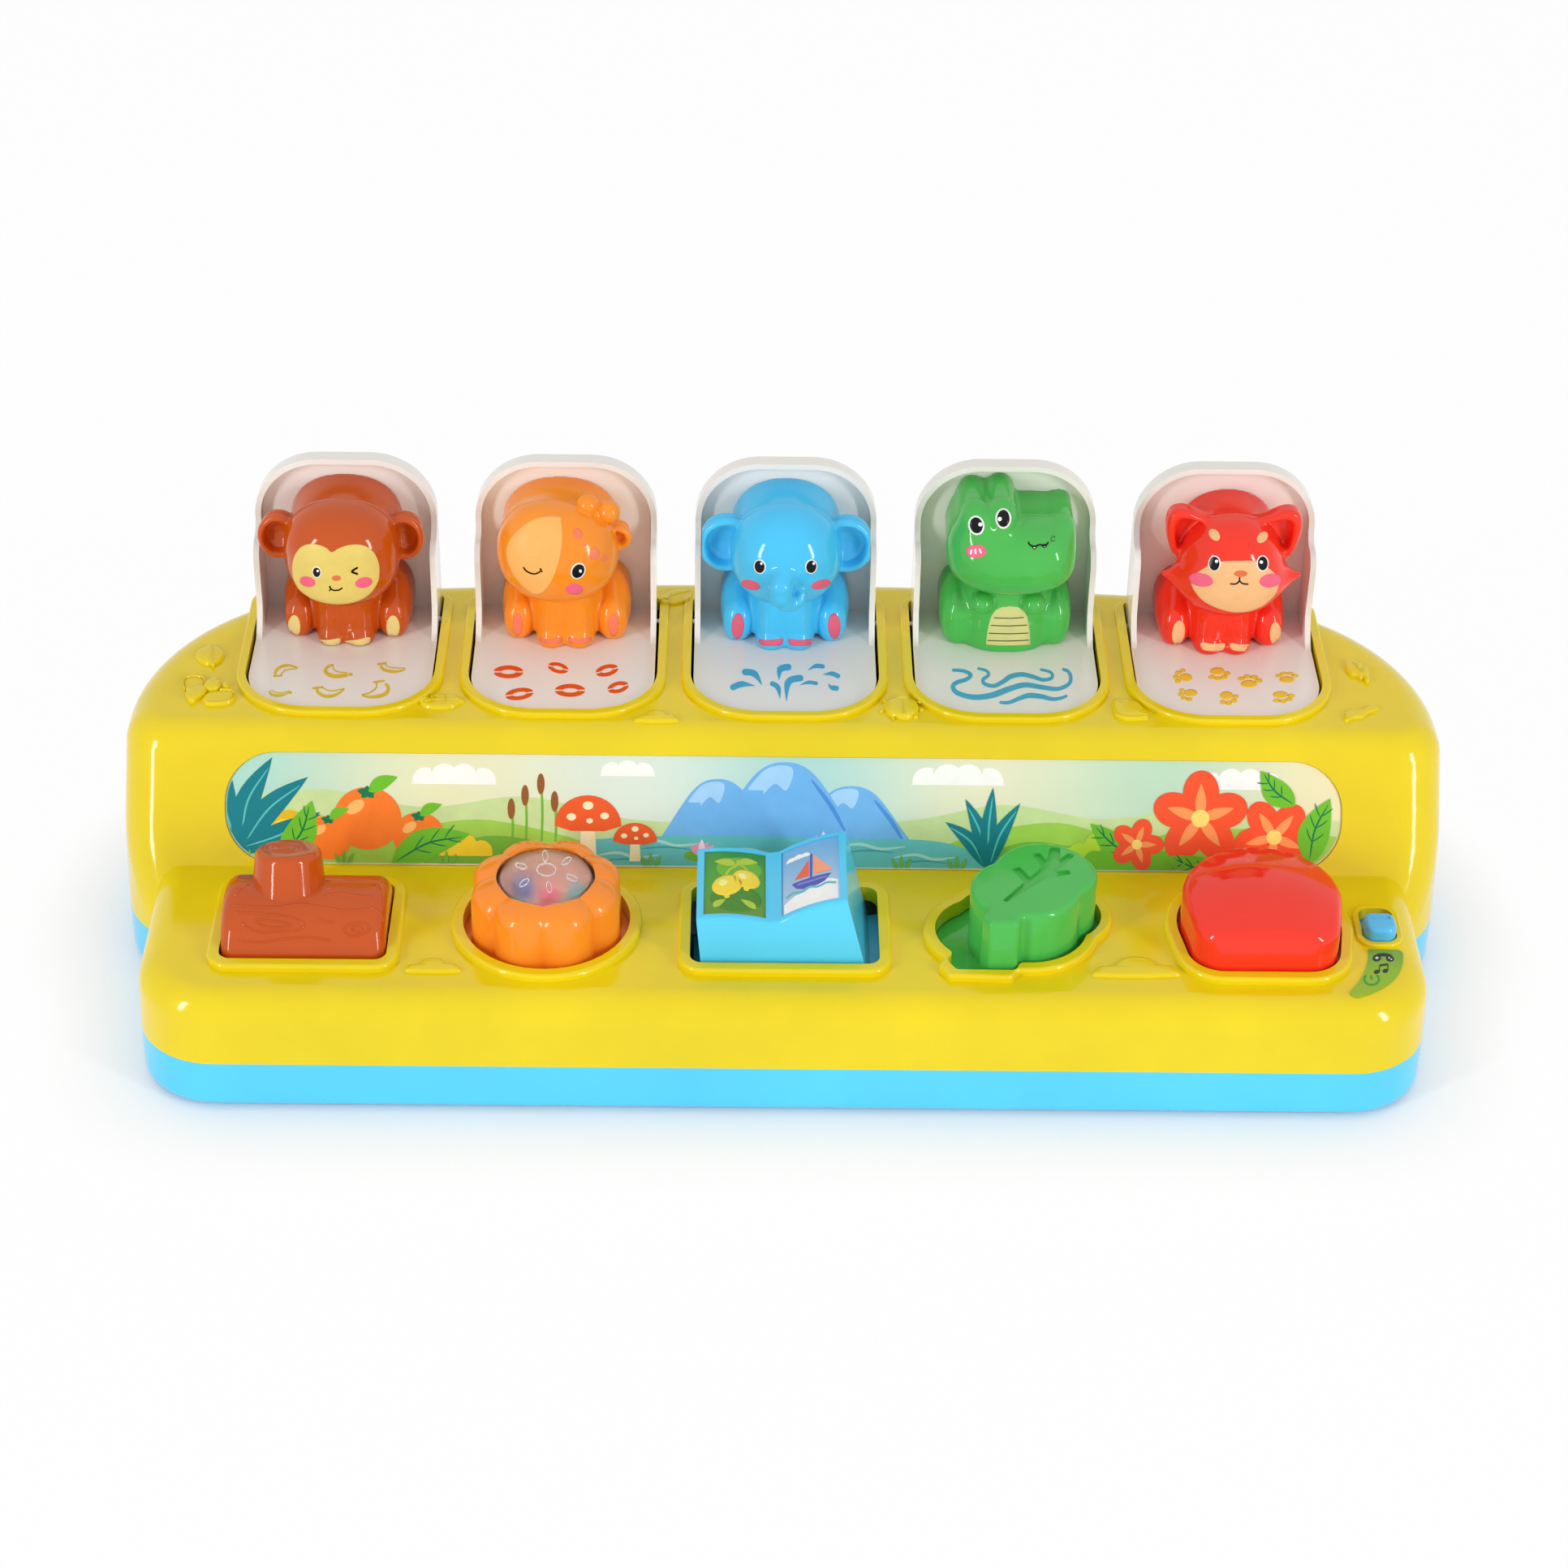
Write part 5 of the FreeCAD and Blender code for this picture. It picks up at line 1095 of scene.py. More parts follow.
def puffs(cx, cy, half_w, h, count):
    """Cloud or bush: a row of round lobes on a flat foot."""
    loop = []
    r = half_w / count * 1.25
    for i in range(count):
        t = (i + 0.5) / count * 2 - 1
        loop += arc(cx + t * (half_w - r * 0.4), cy + h * (1 - t * t) * 0.6, r, r, 150 - t * 50, 30 - t * 50,
                    7)
    return loop + [np.array((cx + half_w, cy)), np.array((cx - half_w, cy))]


class Panel(Prints):
    """Artwork on the leaning wall's sticker: u along it, v up it. No shape goes past the sticker's edge."""

    HALF_W, FOOT, HEAD, CORNER = 141.6, 1.0, 28.9, 12.6
    LEAN = math.radians(25.0)    # of the wall, from upright
    WALL_Y, SUNK = -19.2, -0.55    # the wall's foot, and the sticker's depth in it
    LIFT, STACK = 0.02, 0.0012    # height of the first shape, and how much higher each next one lies

    def __init__(self):
        super().__init__(self.place)
        self.level = self.LIFT
        x, low, high = self.HALF_W - self.CORNER, self.FOOT + self.CORNER, self.HEAD - self.CORNER
        corners = ((x, high), (-x, high), (-x, low), (x, low))
        self.edge = [point for k, (cx, cy) in enumerate(corners)
                     for point in arc(cx, cy, self.CORNER, self.CORNER, 90 * k, 90 * k + 90, 9)]

    def place(self, point):
        u, v = point
        c, s = math.cos(self.LEAN), math.sin(self.LEAN)
        y, z = self.WALL_Y - self.SUNK * c + v * s, STEP + self.SUNK * s + v * c
        return Vector((u, y, z)), Vector((0, -c, s))

    def clipped(self, loop):
        for a, b in zip(self.edge, self.edge[1:] + self.edge[:1]):
            loop = cut(loop, lambda p: (b[0] - a[0]) * (p[1] - a[1]) - (b[1] - a[1]) * (p[0] - a[0]))
            if len(loop) < 3:
                return []
        return loop

    def paint(self, ink_name, loop):
        loop = self.clipped([np.array(p, float) for p in loop])
        if loop:
            self.shape(ink_name, loop, self.level)
        self.level += self.STACK

    def line(self, ink_name, points, width):
        """Line as a closed shape, so that it is clipped too."""
        path = spline(points, steps=6)
        left, right = [], []
        for i, (p, side) in enumerate(across(path)):
            half = width / 2 * math.sqrt(max(0.06, math.sin(math.pi * i / (len(path) - 1))))
            left.append(p + side * half)
            right.append(p - side * half)
        self.paint(ink_name, left + right[::-1])


def paint_fern(p, foot, tips, width):
    for tip, bow in tips:
        p.paint("teal", leaf_loop(foot, tip, width, bow))
        base, along, side = axis_of(foot, tip)
        p.line("teal light", [base + along * 0.1, base + along * 0.5 + side * bow, base + along * 0.88], 0.5)


def paint_broad_leaf(p, base, tip, width, bow):
    p.paint("frond", leaf_loop(base, tip, width, bow))
    base, along, side = axis_of(base, tip)
    middle = base + along * 0.5 + side * bow
    p.line("vein green", [base + along * 0.06, middle, base + along * 0.9], 0.5)
    for t in (0.32, 0.52, 0.7):
        start = base + along * t + side * bow * math.sin(math.pi * t)
        for s in (-1, 1):
            p.line("vein green", [start, start + along * 0.08 + side * s * width * 0.16,
                                  start + along * 0.17 + side * s * width * 0.3], 0.35)


def paint_fruit(p, x, y, r):
    p.paint("fruit", oval(x, y, r, r * 0.94))
    p.paint("fruit light", oval(x - r * 0.36, y + r * 0.34, r * 0.3, r * 0.18, 35))
    stem = (x, y + r * 0.78)
    for k in range(5):
        a = math.radians(72 * k + 20)
        tip = (stem[0] + r * 0.32 * math.cos(a), stem[1] + r * 0.2 * math.sin(a))
        p.paint("vein green", leaf_loop(stem, tip, r * 0.2))
    p.paint("frond", leaf_loop((x + 0.3, y + r * 0.8), (x + r * 0.9, y + r * 1.25), r * 0.42, 0.6))


def paint_blossom(p, x, y, r, turn):
    for angle in range(0, 360, 72):
        cx, cy = turned([(r * 0.58, 0)], x, y, angle + turn)[0]
        p.paint("petal", oval(cx, cy, r * 0.5, r * 0.4, angle + turn))
    for angle in range(0, 360, 72):
        p.paint("petal light", leaf_loop((x, y), turned([(r * 0.78, 0)], x, y, angle + turn)[0], r * 0.24))
    p.paint("heart", oval(x, y, r * 0.2, r * 0.2))


def paint_mushroom(p, x, y, r, h):
    p.paint("glow", [(x - r * 0.26, y), (x + r * 0.26, y), (x + r * 0.2, y + h * 0.62),
                     (x - r * 0.2, y + h * 0.62)])
    dome = arc(x, y + h * 0.52, r, h * 0.48, 0, 180, 17)
    p.paint("cap", dome + [np.array((x - r * 0.5, y + h * 0.44)), np.array((x + r * 0.5, y + h * 0.44))])
    for dx, dy, size in ((-0.5, 0.66, 0.14), (0.0, 0.84, 0.16), (0.5, 0.68, 0.13), (0.05, 0.6, 0.1)):
        p.paint("glow", oval(x + dx * r, y + dy * h, size * r, size * r * 0.8, count=18))


def paint_peaks(p):
    """Clouds, far hills and three peaks, each with a sunlit and a shaded side."""
    for cloud in ((-84, 21.5, 11, 3.4, 4), (44, 22.5, 12, 3.0, 4), (116, 22.0, 11, 3.6, 4),
                  (-40, 24, 7, 2.0, 3)):
        p.paint("cloud", puffs(*cloud))
    p.paint("far hill", rolling([(-142, 17), (-118, 20), (-92, 15.5), (-66, 18.5), (-40, 13), (-10, 12),
                                 (30, 13), (56, 17.5), (82, 14), (110, 18), (142, 14)], 0))
    slope = ((-1, 4), (-0.72, 0.5), (-0.34, 0.9), (0, 1), (0.34, 0.9), (0.72, 0.5), (1, 4))
    sunlit = ((-0.44, 0.76), (-0.24, 0.93), (-0.02, 0.97), (0.1, 0.92), (0.02, 0.74), (-0.12, 0.8),
              (-0.26, 0.7))
    shaded = ((0.32, 0.84), (0.56, 0.6), (0.74, 0.36))
    for x, top, half_w in ((-17, 23.5, 17), (17, 22.0, 18), (0, 28.0, 21)):
        # A share over 1 is the height of the slope's foot itself.
        p.paint("peak", rolling([(x + u * half_w, v if v > 1 else v * top) for u, v in slope], 3))
        p.paint("peak light", rolling([(x + u * half_w, v * top) for u, v in sunlit], top * 0.74))
        p.line("peak dark", [(x + u * half_w, v * top) for u, v in shaded], 1.1)


def paint_hills(p):
    p.paint("hill", rolling([(-142, 12), (-124, 14), (-100, 10), (-78, 12.5), (-58, 9), (-46, 5)], 0))
    p.paint("hill", rolling([(36, 5), (52, 10.5), (70, 13), (88, 9), (110, 12), (142, 10)], 0))
    p.paint("hill dark", rolling([(-92, 3), (-76, 8.2), (-60, 6.4), (-48, 3)], 0))
    p.paint("hill dark", rolling([(48, 3), (62, 8), (80, 5.6), (92, 3)], 0))


def paint_lake(p):
    """Lake with ripples, two water lilies and a stand of reeds."""
    p.paint("lake", rolling([(-58, 4), (-48, 7.6), (-20, 8.8), (14, 8.4), (38, 8.0), (50, 4.6), (58, 2)], 0))
    for x, y, half_w in ((-30, 6.6, 9), (-6, 4.6, 12), (22, 6.2, 9), (36, 3.6, 8), (-40, 3.4, 8)):
        p.line("ripple", [(x - half_w, y), (x - half_w * 0.3, y + 0.8), (x + half_w * 0.3, y - 0.4),
                          (x + half_w, y + 0.3)], 0.8)
        p.line("deep", [(x - half_w * 0.7, y - 1.3), (x, y - 0.8), (x + half_w * 0.7, y - 1.4)], 0.5)
    for x, y, r in ((10, 4.6, 6.0), (-21, 3.6, 4.6)):
        p.paint("hill dark", oval(x, y, r, r * 0.34))
        for k in (-2, 2, -1, 1, 0):
            tip = (x + k * r * 0.34, y + r * (0.95 - 0.16 * abs(k)))
            p.paint("lily" if k else "lily light", leaf_loop((x, y), tip, r * 0.36))
    for x, top in ((-66, 21), (-62, 24), (-58.5, 19.5), (-69.5, 17.5)):
        p.line("hill dark", [(x, 2), (x + 0.4, top * 0.6), (x, top)], 0.6)
        p.paint("reed", oval(x, top - 2.2, 0.95, 2.7, count=20))


def paint_left_plants(p):
    """All bushes, and on the left a fern, fruit, broad leaves and mushrooms."""
    for ink_name, x, y, half_w, h, count in (("bush dark", -126, 6, 15, 8, 5), ("bush", -127, 4, 14, 8, 5),
                                             ("bush", -83, 3, 9, 5, 4), ("bush dark", 66, 2, 9, 5, 4),
                                             ("bush", 71, 1, 9, 5, 4)):
        p.paint(ink_name, puffs(x, y, half_w, h, count))
    paint_fern(p, (-139, 4), [((-141, 26), 2), ((-130, 28), 2), ((-121, 23), 1.6), ((-118, 14), -1)], 6.4)
    paint_fruit(p, -106, 12.5, 8.6)
    paint_fruit(p, -93, 8.0, 6.6)
    paint_fruit(p, -116, 7.4, 6.0)
    paint_broad_leaf(p, (-128, 2), (-120, 17), 8.0, -1.4)
    paint_broad_leaf(p, (-100, 1), (-80, 8.6), 8.0, 1.6)
    paint_mushroom(p, -50, 2.5, 8.5, 16.5)
    paint_mushroom(p, -38, 2.0, 5.6, 10.0)


def paint_right_plants(p):
    """On the right a fern, a bush, blossoms and broad leaves."""
    paint_fern(p, (52, 1), [((41, 13), -1.4), ((46, 19), -1), ((53, 22), 0.4), ((60, 18), 1)], 4.2)
    p.paint("lime", puffs(84, 3, 12, 9, 5))
    p.paint("frond", puffs(88, 1, 12, 9, 5))
    paint_broad_leaf(p, (92, 3), (78, 13), 7.0, 1.0)
    paint_blossom(p, 106, 14.5, 11.5, 18)
    paint_blossom(p, 125, 9.8, 9.6, 50)
    paint_blossom(p, 90, 7.6, 6.4, 0)
    paint_broad_leaf(p, (112, 1), (98, 4.6), 6.0, 1.0)
    paint_broad_leaf(p, (134, 3), (139, 20), 8.0, 1.2)
    paint_broad_leaf(p, (130, 18), (121, 27), 6.6, 1.0)


def paint_grass(p):
    for x in (-136, -112, -86, -72, -34, 30, 44, 74, 100, 118, 134):
        for k in (-1.6, 0.0, 1.7):
            p.paint("hill dark", leaf_loop((x + k * 0.6, 0.6), (x + k * 1.5, 4.4 - abs(k) * 0.5), 1.0))


def picture():
    """Landscape along the leaning wall, painted from the back to the front."""
    p = Panel()
    for paint in (paint_peaks, paint_hills, paint_lake, paint_left_plants, paint_right_plants, paint_grass):
        paint(p)
    p.finish("picture", "housing", "picture_print")


PAGE_TILT = math.radians(-9.26)    # of the whole book at rest
ABOVE_PAGE = 40.0                  # where rays onto a page start


def on_page(side):
    """Surface of a book page: a along the page from the spine, b up it, both in millimetres."""
    tree = node_surface("book_page_left" if side < 0 else "book_page_right")
    outward = Vector((math.cos(PAGE_TILT), 0, -math.sin(PAGE_TILT)))
    up = Vector((math.sin(PAGE_TILT), 0, math.cos(PAGE_TILT)))

    def surface(point):
        start = Vector((0, PAGE_FOOT + point[1], 30)) + outward * (side * point[0]) + up * ABOVE_PAGE
        place, out, _, _ = tree.ray_cast(start, -up)
        return place, (out if out.dot(up) > 0 else -out)
    return surface


STRIP_W = 1.2


def strips(prints, ink_name, outline, lift):
    """Filled shape cut into narrow strips, for a surface that is bowed across them."""
    outline = [np.array(p, float) for p in outline]
    low, high = min(p[0] for p in outline), max(p[0] for p in outline)
    for i in range(math.ceil((high - low) / STRIP_W)):
        loop = cut(outline, lambda p: p[0] - (low + i * STRIP_W))
        loop = cut(loop, lambda p: low + (i + 1) * STRIP_W - p[0])
        if len(loop) > 2:
            prints.shape(ink_name, loop, lift)


def lemon_page():
    """Two lemons that hang from a twig with leaves."""
    grass, crown = (9.2, 7.0, 6.2, 5.6), (8.4, 19.5, 5.6, 4.6)
    lemons = (11.3, 12.2, 3.5, 4.4, 24), (6.6, 15.2, 3.1, 3.9, -22)
    twigs = [(11.6, 16.4), (10.6, 18.8), (9.0, 20.6), (8.6, 23.0)], [(6.4, 18.8), (7.4, 20.2), (8.8, 21.2)]
    leaves = (((9.2, 20.8), (14.6, 22.2), 3.0, 0.5), ((8.6, 21.6), (3.8, 22.8), 2.8, -0.5),
              ((4.4, 3.2), (8.0, 6.6), 2.2, 0.4), ((14.4, 3.0), (11.6, 6.4), 2.2, -0.4))
    p = Prints(on_page(-1))
    p.patch("page dark", oval(*grass), 0.02, rings=8)
    p.patch("hill dark", oval(*crown), 0.02, rings=8)
    for x, y, rx, ry, turn in lemons:
        p.patch("lemon", oval(x, y - ry * 1.02, 0.7, 0.9), 0.05, rings=2)
        p.patch("lemon", oval(x, y, rx, ry, turn), 0.06)
        p.patch("lemon light", oval(x + 0.9, y + 1.3, rx * 0.32, ry * 0.36, turn), 0.09, rings=2)
    for twig in twigs:
        p.stroke("stalk", twig, 0.7, 0.08)
    for base, tip, width, bow in leaves:
        strips(p, "stalk", leaf_loop(base, tip, width, bow), 0.06)
    p.finish("page_left", "book", "page_print")


def boat_page():
    """A sailing boat on white water, with one cloud."""
    foot = [(2.6, 0.7), (16.4, 0.7)]
    swell = [(16.4, 8.4), (13.6, 9.6), (10.6, 8.6), (8.0, 6.6), (5.4, 6.2), (2.6, 4.4)]
    cloud = (6.4, 21.0, 3.2, 1.0, 3)
    hull = [(4.6, 11.6), (5.8, 9.0), (7.6, 7.8), (11.4, 7.8), (13.2, 8.8), (14.8, 11.6)]
    stripe, mast = [(6.0, 10.4), (9.8, 10.1), (13.8, 10.4)], [(9.6, 11.4), (9.7, 16.0), (9.8, 21.6)]
    sail, jib = [(10.3, 12.4), (15.2, 12.8), (10.3, 21.0)], [(9.1, 12.4), (9.1, 19.2), (5.4, 12.8)]
    waves = [(3.0, 7.0), (5.0, 7.8), (7.0, 7.0), (9.2, 7.8), (11.4, 7.0), (13.6, 7.8), (16.0, 7.0)]
    p = Prints(on_page(1))
    strips(p, "snow", foot + spline(swell, steps=5), 0.02)
    strips(p, "snow", puffs(*cloud), 0.03)
    strips(p, "indigo", hull, 0.05)
    p.stroke("indigo light", stripe, 0.6, 0.08)
    p.stroke("indigo", mast, 0.6, 0.07)
    strips(p, "sail", sail, 0.06)
    strips(p, "sail dark", jib, 0.06)
    p.stroke("lake", waves, 0.8, 0.09)
    p.finish("page_right", "book", "page_print")


def sticker_icons():
    """Gamepad, two notes and a power sign, down the bent sticker."""
    power_ring, power_bar = (200, 402, 36, 28), [(196, 384), (199, 394), (203, 404)]
    pad_ends = (226, 298, 21, 17, -10), (291, 300, 20, 16, 12)
    pad_body = [(220, 289), (240, 283), (262, 282), (284, 285), (300, 293)]
    pad_cross = [(215, 298), (237, 298)], [(226, 289), (226, 307)]
    pad_buttons = (286, 297, 4, 3, 0, 12), (297, 304, 4, 3, 0, 12)
    note_heads = (226, 366, 15, 10, -15), (268, 361, 14, 10, -15)
    note_stems = [(239, 364), (239, 348), (240, 332)], [(280, 359), (280, 343), (281, 328)]
    note_beam = [(240, 334), (260, 332), (281, 329)]
    p = Prints(seen_on(node_surface("mode_sticker"), VIEW["sticker"]))
    p.stroke("icon green", arc(*power_ring, -50, 225, 15), 9, 0.04, steps=3)
    p.stroke("icon green", power_bar, 9, 0.04)
    ovals(p, "icon", pad_ends, 0.04, rings=2)
    p.stroke("icon", pad_body, 16, 0.05)
    for line in pad_cross:
        p.stroke("white", line, 5, 0.08, steps=3)
    ovals(p, "white", pad_buttons, 0.08, rings=1)
    ovals(p, "icon", note_heads, 0.04, rings=2)
    for line in note_stems:
        p.stroke("icon", line, 5, 0.05)
    p.stroke("icon", note_beam, 10, 0.06)
    p.finish("sticker", "housing", "sticker_print")


picture()
lemon_page()
boat_page()
sticker_icons()


# ---------------------------------------------------------------- ornaments raised on the yellow shell
class Relief(Prints):
    """Low raised shapes in the plastic of what they stand on."""

    # Shares of a plateau's outline and height, and of a line's half width and height.
    SHOULDER = ((0.45, 1.06), (0.78, 1.0), (0.91, 0.88), (0.97, 0.55), (1.0, -0.1))
    SECTION = ((-1, -0.1), (-0.7, 0.7), (0, 1), (0.7, 0.7), (1, -0.1))
    LINE_END = 0.35    # how much of a line's width and height its two ends have

    def __init__(self, surface, plastic_name="yellow"):
        super().__init__(surface)
        self.kind = plastic_name
        self.faces = self.layer(plastic_name)[1]

    def lay(self, rows, closed=False):
        for a, b in zip(rows, rows[1:]):
            n = len(a)
            for k in range(n if closed else n - 1):
                self.faces.append((a[k], b[k], b[(k + 1) % n], a[(k + 1) % n]))

    def raise_up(self, outline, height):
        """Plateau with a round shoulder over an outline that its middle sees all of."""
        outline = rounded(outline)
        middle = sum(outline) / len(outline)
        hub = self.put(self.kind, middle, height * 1.08)
        loops = [[self.put(self.kind, middle + (p - middle) * k, height * share) for p in outline]
                 for k, share in self.SHOULDER]
        for i in range(len(outline)):
            self.faces.append((hub, loops[0][i], loops[0][(i + 1) % len(outline)]))
        self.lay(loops, closed=True)

    def bead(self, points, width, height):
        """Raised line with a round section."""
        path = spline(points, steps=6)
        rows = []
        for i, (p, side) in enumerate(across(path)):
            end = self.LINE_END if i in (0, len(path) - 1) else 1.0
            rows.append([self.put(self.kind, p + side * width / 2 * k * end, height * h * end)
                         for k, h in self.SECTION])
        self.lay(rows)


INK.update({look: MAT[look] for look in ("yellow", "brown", "frost")})
shell_surface = node_surface("top_shell")
PAD_GAIN, BEAD_GAIN = 1.4, 1.45    # all reliefs on the shell stand this much higher than they are drawn


def relief_group(name, view, pads, beads):
    r = Relief(seen_on(shell_surface, VIEW[view]))
    for outline, height in pads:
        r.raise_up(outline, height * PAD_GAIN)
    for points, width, height in beads:
        r.bead(points, width, height * BEAD_GAIN)
    r.finish("ornament_" + name, "housing", "yellow_plastic")


def log_grain():
    """Grain and knots raised on the log, and growth rings on the stump's top."""
    r = Relief(seen_on(node_surface("log_lever"), VIEW["log and flower"]), "brown")
    grain = [
        [(138, 318), (200, 320), (262, 326), (330, 336), (374, 360), (350, 380), (280, 384), (236, 388),
         (190, 376), (160, 352)],
        [(205, 342), (252, 346), (300, 352), (332, 364), (290, 370), (238, 366), (210, 352)],
        [(130, 292), (200, 300), (280, 300), (360, 290), (430, 300), (520, 312), (600, 306)],
        [(514, 374), (530, 360), (560, 352), (590, 360), (598, 378), (570, 396), (535, 399), (514, 384),
         (514, 374)],
        [(538, 374), (556, 366), (574, 374), (566, 386), (548, 386), (538, 376)],
        [(446, 262), (500, 254), (560, 262), (612, 268)], [(448, 210), (520, 214), (600, 208), (662, 216)],
        [(452, 234), (540, 240), (624, 232)], [(132, 262), (160, 236), (188, 222)],
        [(600, 300), (636, 322), (648, 352)], [(150, 414), (220, 420), (300, 410), (390, 404), (470, 416)],
        [(420, 340), (450, 352), (480, 350)],
    ]
    stump_rings = (304, 97, 64, 16), (304, 97, 42, 10), (304, 97, 20, 5)
    for line in grain:
        r.bead(line, 7, 0.26)
    for ring in stump_rings:
        r.bead(arc(*ring, 0, 360, 19), 5, 0.2)
    r.finish("log_grain", "log", "brown_plastic")


def dome_marks():
    """Six slots, which point away from the dome's middle, and a ring, all raised on the clear dome."""
    middle_x, middle_y = 1207, 176
    slots = (1120, 160), (1275, 143), (1294, 200), (1216, 232), (1131, 217), (1203, 126)
    ring = (1207, 172, 32, 21)
    r = Relief(seen_on(node_surface("flower_dome"), VIEW["log and flower"]), "frost")
    for x, y in slots:
        turn = math.degrees(math.atan2((y - middle_y) * 1.5, x - middle_x))
        slot = oval(x, y, 19, 8.5, turn, 16)
        r.bead(slot + slot[:1], 3.4, 0.3)
    r.bead(arc(*ring, 0, 360, 25), 3.4, 0.3)
    r.finish("dome_marks", "flower", "clear_plastic")


def cloud_outline(x, y, half_w, h):
    """Cloud in the camera's frame: lobes above, a flat foot below."""
    shares = ((-1, 0), (-0.86, -0.4), (-0.56, -0.42), (-0.34, -0.86), (0, -1), (0.34, -0.84), (0.52, -0.5),
              (0.84, -0.44), (1, 0), (0.5, 0.1), (0, 0.12), (-0.5, 0.1))
    return [(x + u * half_w, y + v * h) for u, v in shares]


def ornaments():
    """Leaves, a bee, a snail, a beetle and clouds on the deck and the step."""
    pointed = [(244, 107), (285, 125), (308, 150), (296, 180), (262, 200), (236, 204), (196, 194), (165, 170),
               (172, 140), (205, 122)]
    stalk = [(246, 194), (262, 198), (258, 212), (242, 210)]
    rib = [(240, 112), (250, 140), (246, 170), (248, 198)]
    relief_group("leaf_left", "deck left", [(pointed, 0.8), (stalk, 0.8)], [(rib, 7, 1.0)])

    wings = [([(110, 318), (106, 286), (128, 266), (176, 264), (208, 282), (206, 306), (170, 322),
               (134, 326)], 0.5), ([(196, 376), (222, 340), (268, 332), (330, 332), (357, 348), (346, 378),
                                    (300, 390), (240, 394)], 0.5)]
    body = [([(120, 372), (116, 350), (150, 322), (190, 314), (222, 318), (214, 346), (180, 372), (142, 388)],
             1.0), ([(206, 310), (226, 288), (262, 284), (290, 300), (284, 324), (250, 336), (216, 332)],
                    1.1), ([(238, 282), (252, 268), (270, 274), (268, 290), (246, 292)], 0.8),
            ([(296, 306), (312, 292), (330, 300), (328, 318), (306, 322)], 0.8)]
    rims = [([(112, 324), (104, 300), (114, 272), (150, 262), (196, 268), (214, 292)], 9, 0.8),
            ([(208, 394), (250, 397), (310, 392), (350, 376), (358, 350), (334, 332), (280, 330)], 9, 0.8)]
    relief_group("bee", "deck left", wings + body, rims)

    oak = [(172, 138), (206, 152), (228, 160), (240, 182), (262, 186), (268, 212), (252, 228), (226, 236),
           (206, 222), (176, 214), (152, 190), (148, 152)]
    stalk = [(240, 226), (264, 226), (272, 244), (252, 250)]
    veins = [([(180, 158), (206, 190), (238, 218)], 7, 1.0), ([(206, 164), (208, 190), (188, 196)], 5, 0.95),
             ([(236, 188), (234, 210), (216, 214)], 5, 0.95)]
    relief_group("oak_leaf", "deck right", [(oak, 0.8), (stalk, 0.8)], veins)

    snail = [(142, 410), (166, 388), (210, 386), (250, 382), (272, 366), (306, 366), (318, 378), (296, 392),
             (262, 402), (236, 424), (196, 426), (156, 442), (142, 432)]
    relief_group("snail", "deck right", [(snail, 0.6)], [])

    sprig = [(68, 152), (78, 118), (116, 112), (160, 116), (200, 110), (250, 118), (292, 140), (270, 152),
             (236, 170), (190, 178), (140, 178), (96, 170)]
    veins = [([(90, 150), (140, 144), (200, 142), (270, 140)], 7, 0.95),
             ([(120, 122), (140, 140), (128, 164)], 5, 0.9), ([(190, 118), (200, 140), (188, 166)], 5, 0.9)]
    relief_group("sprig", "deck sprig", [(sprig, 0.7)], veins)

    shell = [(116, 138), (122, 112), (158, 96), (200, 90), (244, 96), (276, 112), (290, 140), (270, 172),
             (226, 188), (180, 184), (136, 168)]
    head, seam = [(176, 96), (206, 84), (240, 94), (208, 108)], [(208, 106), (210, 140), (214, 184)]
    legs = [[(132, 110), (114, 100), (100, 106)], [(272, 108), (290, 98), (304, 104)],
            [(116, 148), (98, 154)], [(290, 148), (310, 146)], [(166, 180), (160, 196)],
            [(262, 176), (284, 182)]]
    relief_group("beetle", "deck beetle", [(shell, 1.0), (head, 1.1)],
                 [(leg, 8, 0.6) for leg in legs] + [(seam, 6, 1.2)])

    broad = [(126, 92), (162, 94), (210, 98), (250, 112), (280, 146), (298, 182), (262, 186), (210, 190),
             (160, 182), (126, 156), (118, 120)]
    rib = [(132, 98), (170, 130), (230, 160), (298, 182)]
    rim_line = [(130, 168), (170, 186), (230, 192), (300, 184)]
    relief_group("leaf_right", "deck leaf", [(broad, 0.8)], [(rib, 7, 1.0), (rim_line, 7, 0.9)])

    clouds = {"deck": ("deck cloud", (195, 120, 112, 50)), "left": ("step left", (252, 96, 120, 52)),
              "right": ("step right", (240, 98, 166, 66))}
    for side, (view, place) in clouds.items():
        relief_group("cloud_" + side, view, [(cloud_outline(*place), 0.7)], [])

    rear = [(128, 108), (160, 72), (210, 58), (262, 54), (292, 68), (280, 96), (236, 118), (180, 126)]
    rib = [(128, 112), (190, 90), (286, 62)]
    relief_group("leaf_rear", "deck rear", [(rear, 0.6)], [(rib, 6, 0.8)])


SPRING_PLACE = (118.6, -43.0)
SPRING_LOW, SPRING_HIGH = 12.0, 29.4
SPRING_R, WIRE_R = 6.6, 0.45
SPRING_TURNS, SPRING_TRAVEL = 5.0, 5.0


